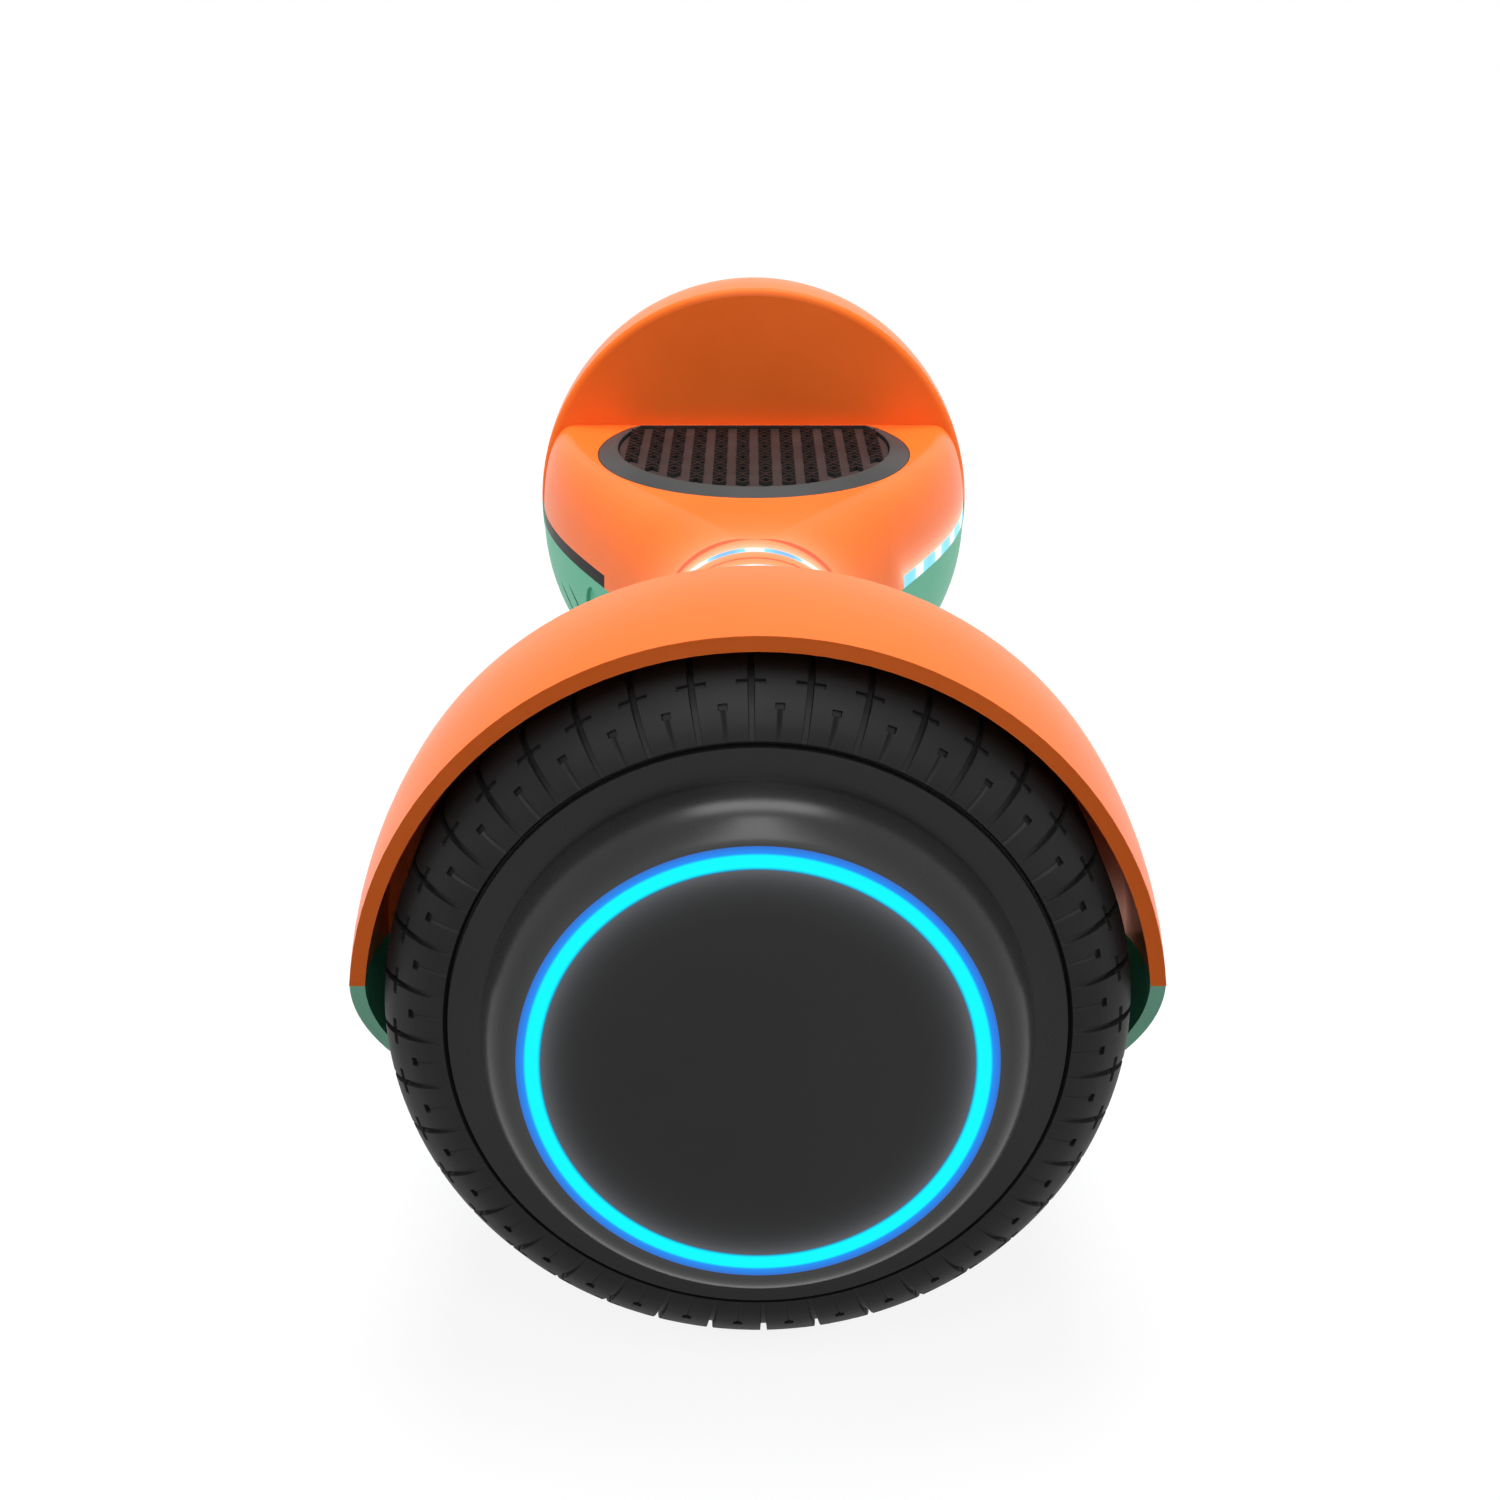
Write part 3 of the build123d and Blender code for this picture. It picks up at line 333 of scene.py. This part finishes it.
mat_rubber = rubber_finish(
    "mat_rubber", (0.031, 0.0165, 0.0145), (0.041, 0.024, 0.022), roughness=0.6, specular=0.08
)
for side, hand in sides.items():
    oval_centre, half_long, half_wide, straight_end = mat_outline(side)
    sheet_foot = mat_top(side) - sheet_thickness
    bpy.ops.object.select_all(action="DESELECT")
    bpy.ops.mesh.primitive_circle_add(
        vertices=outline_steps, radius=1, fill_type="NGON", location=(hand * oval_centre, 0, sheet_foot)
    )
    mat = bpy.context.object
    mat.name = f"{side}_mat"
    mat.scale = (half_long - sheet_gap, half_wide - sheet_gap, 1)
    settle_at_origin(mat)
    bpy.ops.object.mode_set(mode="EDIT")
    bpy.ops.mesh.select_all(action="SELECT")
    bpy.ops.mesh.bisect(
        plane_co=(hand * (straight_end - sheet_gap), 0, 0),
        plane_no=(hand, 0, 0),
        clear_outer=True,
        use_fill=False,
    )
    bpy.ops.mesh.select_all(action="SELECT")
    bpy.ops.mesh.extrude_region_move(TRANSFORM_OT_translate={"value": (0, 0, sheet_thickness)})
    bpy.ops.mesh.select_all(action="SELECT")
    bpy.ops.mesh.normals_make_consistent(inside=False)
    bpy.ops.object.mode_set(mode="OBJECT")
    softened = mat.modifiers.new("edge", "BEVEL")
    softened.width = sheet_rounding
    softened.segments = 2
    softened.limit_method = "ANGLE"
    bpy.ops.object.modifier_apply(modifier="edge")
    bpy.ops.object.shade_smooth_by_angle(angle=math.radians(sheet_crease))
    finish(mat_rubber, mat.name)
    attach(mat, f"{side}_pad")
    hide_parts(f"{side}_pad_mat")


# Grip ribs: fourteen raised strips of black rubber along each mat, each a row of small chevrons.
# They are moulded on the mat. Two chevrons point one way and the next two the other way.
def select_where(piece, keep):
    """In edit mode, select only the vertices whose place passes a test."""
    bpy.ops.object.mode_set(mode="OBJECT")
    mesh = piece.data
    for group in (mesh.vertices, mesh.edges, mesh.polygons):
        group.foreach_set("select", [False] * len(group))
    for vertex in mesh.vertices:
        vertex.select = keep(vertex.co)
    bpy.ops.object.mode_set(mode="EDIT")
    bpy.ops.mesh.select_mode(type="VERT")


def join_copies(copies, name):
    bpy.ops.object.select_all(action="DESELECT")
    for copy in copies:
        copy.select_set(True)
    bpy.context.view_layer.objects.active = copies[0]
    bpy.ops.object.join()
    copies[0].name = name
    copies[0].data.name = name
    return copies[0]


def row_reach(y, half_long, half_wide):
    """How far a row of ribs may run from the oval's centre, midway between its two edges."""
    edges = [min(1.0, (abs(y) + way * strip_width / 2) / half_wide) for way in (1, -1)]
    return half_long * sum(math.sqrt(1 - edge**2) for edge in edges) / 2 - rib_half


strip_pitch, strip_width, strip_count = 0.0090, 0.0052, 14
rib_pitch, rib_thickness, rib_height, rib_sweep = 0.0050, 0.0054, 0.0016, 0.0036
rib_foot, rib_top_share = 0.0002, 0.3
rib_half = (rib_thickness + rib_sweep) / 2
ribs_one_way = 2

bpy.ops.object.select_all(action="DESELECT")
bpy.ops.mesh.primitive_cube_add(size=1)
rib = bpy.context.object
rib.scale = (rib_thickness, strip_width, rib_height)
settle_at_origin(rib)
bpy.ops.object.mode_set(mode="EDIT")
bpy.ops.mesh.select_all(action="SELECT")
bpy.ops.mesh.bisect(plane_co=(0, 0, 0), plane_no=(0, 1, 0))
select_where(rib, lambda place: place.z > 0)
bpy.ops.transform.resize(value=(rib_top_share, 1, 1))
select_where(rib, lambda place: abs(place.y) < strip_width / 4)
bpy.ops.transform.translate(value=(rib_sweep / 2, 0, 0))
select_where(rib, lambda place: abs(place.y) > strip_width / 4)
bpy.ops.transform.translate(value=(-rib_sweep / 2, 0, 0))
bpy.ops.object.mode_set(mode="OBJECT")

rib_rubber = rubber_finish("rib_rubber", grey(0.0035), grey(0.006), roughness=0.4, specular=0.05)
for side, hand in sides.items():
    oval_centre, half_long, half_wide, straight_end = mat_outline(side)
    rib_middle = mat_top(side) + rib_height / 2 - rib_foot
    copies = []
    for row in range(strip_count):
        y = (row - (strip_count - 1) / 2) * strip_pitch
        reach = row_reach(y, half_long, half_wide)
        far_end = min(oval_centre + reach, straight_end - rib_half)
        rib_count = int((far_end - oval_centre + reach) / rib_pitch) + 1
        for step in range(rib_count):
            copy = bpy.data.objects.new("rib", rib.data.copy())
            bpy.context.scene.collection.objects.link(copy)
            copy.location = (hand * (far_end - step * rib_pitch), y, rib_middle)
            copy.rotation_euler.z = math.pi * ((step // ribs_one_way) % 2)
            copies.append(copy)
    ribs = join_copies(copies, f"{side}_pad_ribs")
    settle_at_origin(ribs)
    finish(rib_rubber, ribs.name)
    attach(ribs, f"{side}_pad")
bpy.data.objects.remove(rib)


# Tyres: solid black rubber moulded in a tread ring, stretched on the motor drum.
# Forty long cross grooves run down to the bead, each with a short cross tick, with a pin between.
def clamp(value):
    return min(1.0, max(0.0, value))


def shoulder_point(share):
    """Place (offset, radius) on the shoulder curve, from the crown's edge to the bead."""
    near = (crown_half, crown_radius)
    pull = (crown_half + (tyre_half - crown_half) * shoulder_pull, crown_radius)
    drop = (tyre_half, crown_radius - (crown_radius - bead_radius) * shoulder_pull)
    far = (tyre_half, bead_radius + bead_lip)
    rest = 1 - share
    weights = (rest**3, 3 * rest**2 * share, 3 * rest * share**2, share**3)
    corners = list(zip(weights, (near, pull, drop, far)))
    return tuple(sum(weight * corner[axis] for weight, corner in corners) for axis in (0, 1))


def half_outline():
    """Outer half of the tyre's section as (offset, radius, run from the middle), with rows at each edge."""
    fine = [shoulder_point(step / curve_steps) for step in range(curve_steps + 1)]
    runs = [crown_half]
    for before, after in zip(fine, fine[1:]):
        runs.append(runs[-1] + math.dist(before, after))
    rows = {runs[-1]}
    for centre, half in ((tick_at, tick_half), ((pin_start + pin_end) / 2, (pin_end - pin_start) / 2)):
        rows |= {centre + way * (half + edge) for way in (-1, 1) for edge in (0, edge_run)}
    rows |= {crown_half + row_pitch * step for step in range(int((runs[-1] - crown_half) / row_pitch))}
    rows = sorted(rows)
    rows = [run for index, run in enumerate(rows) if index == 0 or run - rows[index - 1] > row_least]
    outline = [(offset, crown_radius, offset) for offset in crown_rows]
    for run in rows:
        index = min(range(len(runs)), key=lambda item: abs(runs[item] - run))
        outline.append((*fine[index], run))
    return outline


def tread_depth(from_groove, run):
    """Depth of the tread below the tyre's skin, from the place in a pitch and down the section."""
    depth = 0.0
    if from_groove <= groove_half:
        foot = groove_foot * clamp((foot_end - run) / foot_fade)
        depth = foot + (groove_depth - groove_foot) * clamp((groove_end - run) / groove_fade)
    if from_groove <= tick_reach and abs(run - tick_at) <= tick_half + row_slack:
        depth = max(depth, tick_depth)
    from_pin = abs(from_groove - pitch_half)
    if from_pin <= pin_half and pin_start - row_slack <= run <= pin_end + row_slack:
        depth = max(depth, pin_depth)
    if from_pin <= stem_half and pin_end < run <= stem_end:
        depth = max(depth, stem_depth)
    return depth


def tread_point(section_point, across, middle, lead):
    """Place of a point of the tyre's skin, sunk by the tread's depth; lead turns the tread, in degrees."""
    offset, radius, run = section_point
    depth = tread_depth(abs(across), run)
    lean = clamp((abs(offset) - crown_half) / (tyre_half - crown_half)) ** lean_power * math.pi / 2
    offset -= math.copysign(depth * math.sin(lean), offset)
    radius -= depth * math.cos(lean)
    angle = across / crown_radius + math.radians(90 + lead)
    return middle + offset, radius * math.cos(angle), axle_height + radius * math.sin(angle)


def place_in_grid(vertex):
    return (round(vertex.co.y, 5), round(vertex.co.x, 5))


tyre_half = (tyre_high.x - tyre_low.x) / 2
crown_radius = (tyre_high.z - tyre_low.z) / 2
crown_half, crown_rows = 0.0115, (0.0, 0.004, 0.008)
bead_radius, bead_step, bead_lip = 0.0693, 0.0022, 0.0008
seat_half, seat_radius, flange_radius = 0.0185, 0.062, 0.0663
shoulder_pull, lean_power, curve_steps = 0.4, 1.5, 240
row_pitch, row_least, row_slack, edge_run = 0.0021, 1e-4, 1e-5, 0.00018
tread_pitches = 40
pitch_half = crown_radius * math.pi / tread_pitches
groove_half, groove_depth, groove_end, groove_fade = 0.00065, 0.0016, 0.0305, 0.011
groove_foot, foot_end, foot_fade = 0.00035, 0.0312, 0.001
tick_reach, tick_at, tick_half, tick_depth = 0.0032, 0.0199, 0.0005, 0.0008
pin_half, pin_start, pin_end, pin_depth = 0.0010, 0.0249, 0.0260, 0.0009
stem_half, stem_depth, stem_end = 0.0007, 0.0004, 0.0318
past_tread = 1.0
weld_reach, tread_crease = 2e-5, 32
tread_lead = {"right": 1.05, "left": 2.4}

bead = [
    (tyre_half - bead_step, bead_radius),
    (tyre_half - bead_step, flange_radius),
    (seat_half, flange_radius),
    (seat_half, seat_radius),
]
half_section = half_outline() + [(offset, radius, past_tread) for offset, radius in bead]
section = half_section + [(-offset, radius, run) for offset, radius, run in reversed(half_section)]
stops = [0.0, groove_half, groove_half + edge_run, tick_reach, tick_reach + edge_run]
stops += [pitch_half - pin_half - edge_run, pitch_half - pin_half]
stops += [pitch_half - stem_half - edge_run, pitch_half - stem_half, pitch_half]
columns = [-stop for stop in reversed(stops[1:])] + stops

tyre_rubber = rubber_finish(
    "tyre_rubber", (0.015, 0.015, 0.0155), (0.023, 0.023, 0.0235), roughness=0.55, specular=0.16, depth=2e-5
)
for side in sides:
    tyre_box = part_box(f"{side}_tyre")
    tyre_middle = (tyre_box[0].x + tyre_box[1].x) / 2
    bpy.ops.object.select_all(action="DESELECT")
    bpy.ops.mesh.primitive_grid_add(x_subdivisions=len(columns) - 1, y_subdivisions=len(section) - 1, size=1)
    tread = bpy.context.object
    tread.name = f"{side}_tread"
    for place, vertex in enumerate(sorted(tread.data.vertices, key=place_in_grid)):
        row, column = divmod(place, len(columns))
        vertex.co = tread_point(section[row], columns[column], tyre_middle, tread_lead[side])
    bpy.ops.object.mode_set(mode="EDIT")
    bpy.ops.mesh.select_all(action="SELECT")
    bpy.ops.mesh.spin(
        steps=tread_pitches - 1,
        dupli=True,
        angle=2 * math.pi * (tread_pitches - 1) / tread_pitches,
        center=(tyre_middle, 0, axle_height),
        axis=(1, 0, 0),
    )
    bpy.ops.mesh.select_all(action="SELECT")
    bpy.ops.mesh.remove_doubles(threshold=weld_reach)
    bpy.ops.mesh.normals_make_consistent(inside=False)
    bpy.ops.object.mode_set(mode="OBJECT")
    bpy.ops.object.shade_smooth_by_angle(angle=math.radians(tread_crease))
    settle_at_origin(tread)
    finish(tyre_rubber, tread.name)
    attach(tread, f"{side}_wheel")
    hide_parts(f"{side}_tyre")


# Hub caps: satin black mouldings with a flat outer ring and a bulged wall, clipped on the drum cover.
# A faint halo of painted glow beside the lit ring lies on the foot of the bulge.
def place_across_ring(tree):
    """0 at the inner edge of the hub's lit ring and 1 at its outer edge."""
    _, across, rise = place_on_piece(tree)
    squares = [calculate(tree, "POWER", distance, 2.0) for distance in (across, rise)]
    radius = calculate(tree, "SQRT", calculate(tree, "ADD", *squares))
    return calculate(tree, "DIVIDE", calculate(tree, "SUBTRACT", radius, light_inner), light_width)


def painted_halo(tree, inwards, reach, strength):
    """Painted glow beside the lit ring; inwards is 0 at the ring's edge and falls below 0 away from it."""
    faded = calculate(tree, "EXPONENT", calculate(tree, "MULTIPLY", inwards, light_width / reach))
    return calculate(tree, "MULTIPLY", faded, strength)


light_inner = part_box("right_hub_disc")[1].y
light_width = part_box("right_hub_light_ring")[1].y - light_inner
# Colour, reach and strength of the painted halo on the hub cap beside its lit ring.
cap_halo_colour, cap_halo_reach, cap_halo_strength = (0.95, 0.97, 1.0), 0.0040, 0.035
hub_black = cloudy_finish(
    "hub_black", (0.015, 0.015, 0.0155), (0.020, 0.020, 0.0205), roughness=0.28, specular=0.24, depth=1e-6
)
tree = hub_black.node_tree
outside = calculate(tree, "SUBTRACT", 1.0, place_across_ring(tree))
add_painted_glow(hub_black, cap_halo_colour, painted_halo(tree, outside, cap_halo_reach, cap_halo_strength))
finish(hub_black, "right_hub_cap", "left_hub_cap")

# Hub light rings: clear diffuser rings between the centre disc and the cap's bulge.
# They are lit in cyan, with a blue outer edge.
hub_glow = lit_finish(
    "hub_light",
    place_across_ring,
    [
        (0.0, (0.02, 0.12, 0.36)),
        (0.10, (0.0, 0.80, 0.95)),
        (0.16, (0.0, 0.97, 1.0)),
        (0.60, (0.0, 0.95, 1.0)),
        (0.70, (0.015, 0.28, 0.95)),
        (0.97, (0.03, 0.17, 0.66)),
    ],
)
finish(hub_glow, "right_hub_light_ring", "left_hub_light_ring")

# Centre discs: satin black mouldings, slightly domed, clipped into the middle of the hub caps.
# Each has the ring's glow painted on its edge as emission.
disc_halo_colour, disc_halo_reach, disc_halo_strength = (0.85, 0.90, 1.0), 0.0026, 0.10
disc_black = cloudy_finish("disc_black", grey(0.018), grey(0.023), roughness=0.42, specular=0.22)
tree = disc_black.node_tree
inside = place_across_ring(tree)
add_painted_glow(disc_black, disc_halo_colour, painted_halo(tree, inside, disc_halo_reach, disc_halo_strength))
finish(disc_black, "right_hub_disc", "left_hub_disc")

# Motor and axle: turned steel axle and drum, nickel-plated magnets, varnished laminations,
# copper coils, steel bearings and black painted cast covers, all inside the wheel.
# The axle and the core stand still in the frame's clamp, and the rest turns with the tyre.
turned_steel = cloudy_finish(
    "turned_steel", grey(0.42), grey(0.52), roughness=0.32, metallic=1.0, cloud=120.0
)
magnet_plate = cloudy_finish(
    "magnet_plate", (0.40, 0.39, 0.37), (0.50, 0.49, 0.46), roughness=0.25, metallic=1.0, cloud=200.0
)
core_varnish = cloudy_finish(
    "core_varnish", (0.10, 0.07, 0.05), (0.16, 0.12, 0.09), roughness=0.4, metallic=0.6, cloud=300.0
)
coil_copper = cloudy_finish(
    "coil_copper", (0.50, 0.17, 0.07), (0.70, 0.27, 0.11), roughness=0.3, metallic=1.0, cloud=400.0
)
cover_paint = cloudy_finish(
    "cover_paint", (0.014, 0.014, 0.015), (0.022, 0.022, 0.023), roughness=0.5, specular=0.4, cloud=50.0
)
for side in sides:
    finish(turned_steel, f"{side}_motor_axle", f"{side}_rotor_drum", f"{side}_wheel_bearings")
    finish(magnet_plate, f"{side}_rotor_magnets")
    finish(core_varnish, f"{side}_stator_core")
    finish(coil_copper, f"{side}_stator_windings")
    finish(cover_paint, f"{side}_motor_cover_inner", f"{side}_motor_cover_outer")

# Frames and pivot: cast aluminium frames, clamp caps and heat sink, a steel tube with its pins and
# ring, sintered bronze bushes and black zinc screws. The tube is pinned in the right frame and
# turns in the bushes of the left one.
cast_aluminium = cloudy_finish(
    "cast_aluminium",
    (0.50, 0.51, 0.52),
    (0.60, 0.61, 0.62),
    roughness=0.5,
    metallic=0.9,
    cloud=60.0,
    grain=700.0,
    depth=3e-5,
)
sintered_bronze = cloudy_finish(
    "sintered_bronze", (0.46, 0.29, 0.12), (0.58, 0.38, 0.17), roughness=0.4, metallic=1.0, cloud=250.0
)
black_zinc = cloudy_finish("black_zinc", grey(0.10), grey(0.16), roughness=0.35, metallic=0.9, cloud=300.0)
for side in sides:
    finish(cast_aluminium, f"{side}_frame", f"{side}_axle_clamp")
    finish(black_zinc, f"{side}_frame_screws")
finish(turned_steel, "pivot_tube", "pivot_pins", "retaining_ring")
finish(sintered_bronze, "pivot_bushes")
finish(cast_aluminium, "heat_sink")

# Battery and boards: a pack in blue shrink wrap, held in the right half by a zinc strap.
# The circuit boards are green: the control board in the left half and a sensor board under each pad.
battery_wrap = cloudy_finish(
    "battery_wrap", (0.02, 0.08, 0.32), (0.03, 0.11, 0.40), roughness=0.28, cloud=30.0
)
strap_zinc = cloudy_finish(
    "strap_zinc", (0.42, 0.43, 0.44), (0.55, 0.56, 0.57), roughness=0.35, metallic=1.0, cloud=150.0
)
board_green = cloudy_finish(
    "board_green", (0.012, 0.12, 0.05), (0.02, 0.17, 0.07), roughness=0.3, cloud=500.0
)
finish(battery_wrap, "battery_pack")
finish(strap_zinc, "battery_strap")
finish(board_green, "control_board", "right_sensor_board", "left_sensor_board")

# Charge inlet, its rubber flap, the power button and its switch: black mouldings at the rear of
# the right half. The flap hangs in the inlet's pocket by its top edge and swings up.
inlet_black = cloudy_finish("inlet_black", grey(0.016), grey(0.024), roughness=0.45, specular=0.35)
flap_rubber = rubber_finish("flap_rubber", grey(0.022), grey(0.034))
finish(inlet_black, "charge_inlet", "power_switch")
finish(gloss_black, "power_button")
finish(flap_rubber, "charge_flap")


# Studio floor: a plain matt sheet that keeps the object's shadow.
# It is grey where it lights the object and white where it is seen, with a soft shadow near the middle.
def seen_rays(tree):
    """1 for the rays that show the surroundings: straight, mirrored or through something clear."""
    rays = tree.nodes.new("ShaderNodeLightPath")
    seen = calculate(tree, "MAXIMUM", rays.outputs["Is Camera Ray"], rays.outputs["Is Glossy Ray"])
    return calculate(tree, "MAXIMUM", seen, rays.outputs["Is Transmission Ray"])


def matt_sheet(tree, level):
    sheet = tree.nodes.new("ShaderNodeBsdfDiffuse")
    sheet.inputs["Color"].default_value = (*grey(level), 1)
    return sheet.outputs["BSDF"]


def mix_shaders(tree, share, first, second):
    mix = tree.nodes.new("ShaderNodeMixShader")
    for socket, value in zip(mix.inputs, (share, first, second)):
        tree.links.new(value, socket)
    return mix.outputs["Shader"]


floor_size = 12.0
floor_grey, floor_white, floor_glow = 0.42, 0.85, 1.06
shadow_share, shadow_reach = 0.22, 0.55

bpy.ops.object.select_all(action="DESELECT")
bpy.ops.mesh.primitive_plane_add(size=floor_size, location=(0, 0, 0))
floor = bpy.context.object
floor.name = "floor"
floor_paper = bpy.data.materials.new("floor_paper")
floor_paper.use_nodes = True
tree = floor_paper.node_tree
tree.nodes.remove(tree.nodes["Principled BSDF"])
place = tree.nodes.new("ShaderNodeTexCoord")
distance = tree.nodes.new("ShaderNodeVectorMath")
distance.operation = "LENGTH"
tree.links.new(place.outputs["Object"], distance.inputs[0])
fade = calculate(tree, "POWER", calculate(tree, "DIVIDE", distance.outputs["Value"], shadow_reach), 2.0)
fade = calculate(tree, "EXPONENT", calculate(tree, "MULTIPLY", fade, -1.0))
fade = calculate(tree, "MULTIPLY", fade, shadow_share)
white = tree.nodes.new("ShaderNodeEmission")
white.inputs["Strength"].default_value = floor_glow
seen = mix_shaders(tree, fade, white.outputs["Emission"], matt_sheet(tree, floor_white))
chosen = mix_shaders(tree, seen_rays(tree), matt_sheet(tree, floor_grey), seen)
tree.links.new(chosen, tree.nodes["Material Output"].inputs["Surface"])
finish(floor_paper, "floor")

# Surround: a weak even light from all round the object.
# It is white where it is seen, so that polished metal shows a white studio too.
surround = 0.13
world = bpy.data.worlds.new("studio")
bpy.context.scene.world = world
world.use_nodes = True
tree = world.node_tree
strength = calculate(tree, "MULTIPLY_ADD", seen_rays(tree), 1 - surround, surround)
backdrop = tree.nodes["Background"]
backdrop.inputs["Color"].default_value = (1, 1, 1, 1)
tree.links.new(strength, backdrop.inputs["Strength"])


# Lamps: a large soft one overhead, one on the near hub and one low on each side.
# The card lights nothing and is only mirrored, as a highlight on the hub cap's bulge.
def soft_lamp(name, size, power, place, aim, lights=True, mirrored=True):
    lamp = bpy.data.lights.new(name, "AREA")
    lamp.shape = "RECTANGLE"
    lamp.size, lamp.size_y = size
    lamp.energy = power
    holder = bpy.data.objects.new(name, lamp)
    holder.location = place
    holder.visible_camera = False
    holder.visible_diffuse = lights
    holder.visible_glossy = mirrored
    holder.rotation_euler = (Vector(aim) - Vector(place)).to_track_quat("-Z", "Y").to_euler()
    bpy.context.scene.collection.objects.link(holder)


neck_spot = (0.0, 0.0, 0.1)
hub_spot = (0.29, 0.0, 0.10)
low_spot = (0.05, 0.0, 0.08)
soft_lamp("overhead", size=(1.1, 1.1), power=30.0, place=(-0.35, 0.0, 1.55), aim=neck_spot)
soft_lamp("front", size=(0.4, 0.4), power=1.9, place=(0.85, 0.0, 1.0), aim=hub_spot, mirrored=False)
soft_lamp("front_card", size=(0.22, 1.4), power=9.0, place=(1.0, 0.0, 0.75), aim=hub_spot, lights=False)
for name, way in (("side_rear", -1), ("side_front", 1)):
    soft_lamp(name, size=(0.8, 0.8), power=8.0, place=(0.15, way * 1.2, 0.28), aim=low_spot, mirrored=False)

# Camera: almost in line with the axle, above and beyond the right wheel.
# It looks down the board's length, so that the left half stands behind the right one.
camera_place = (0.69029, -0.00186, 0.30838)
camera_tilt, camera_turn = 69.504, 89.9825
camera_data = bpy.data.cameras.new("camera")
camera_data.sensor_width = 36.0
camera_data.lens = 50.36
camera = bpy.data.objects.new("camera", camera_data)
camera.location = camera_place
camera.rotation_euler = (math.radians(camera_tilt), 0, math.radians(camera_turn))
bpy.context.scene.collection.objects.link(camera)
bpy.context.scene.camera = camera
bpy.context.scene.view_settings.view_transform = "Standard"
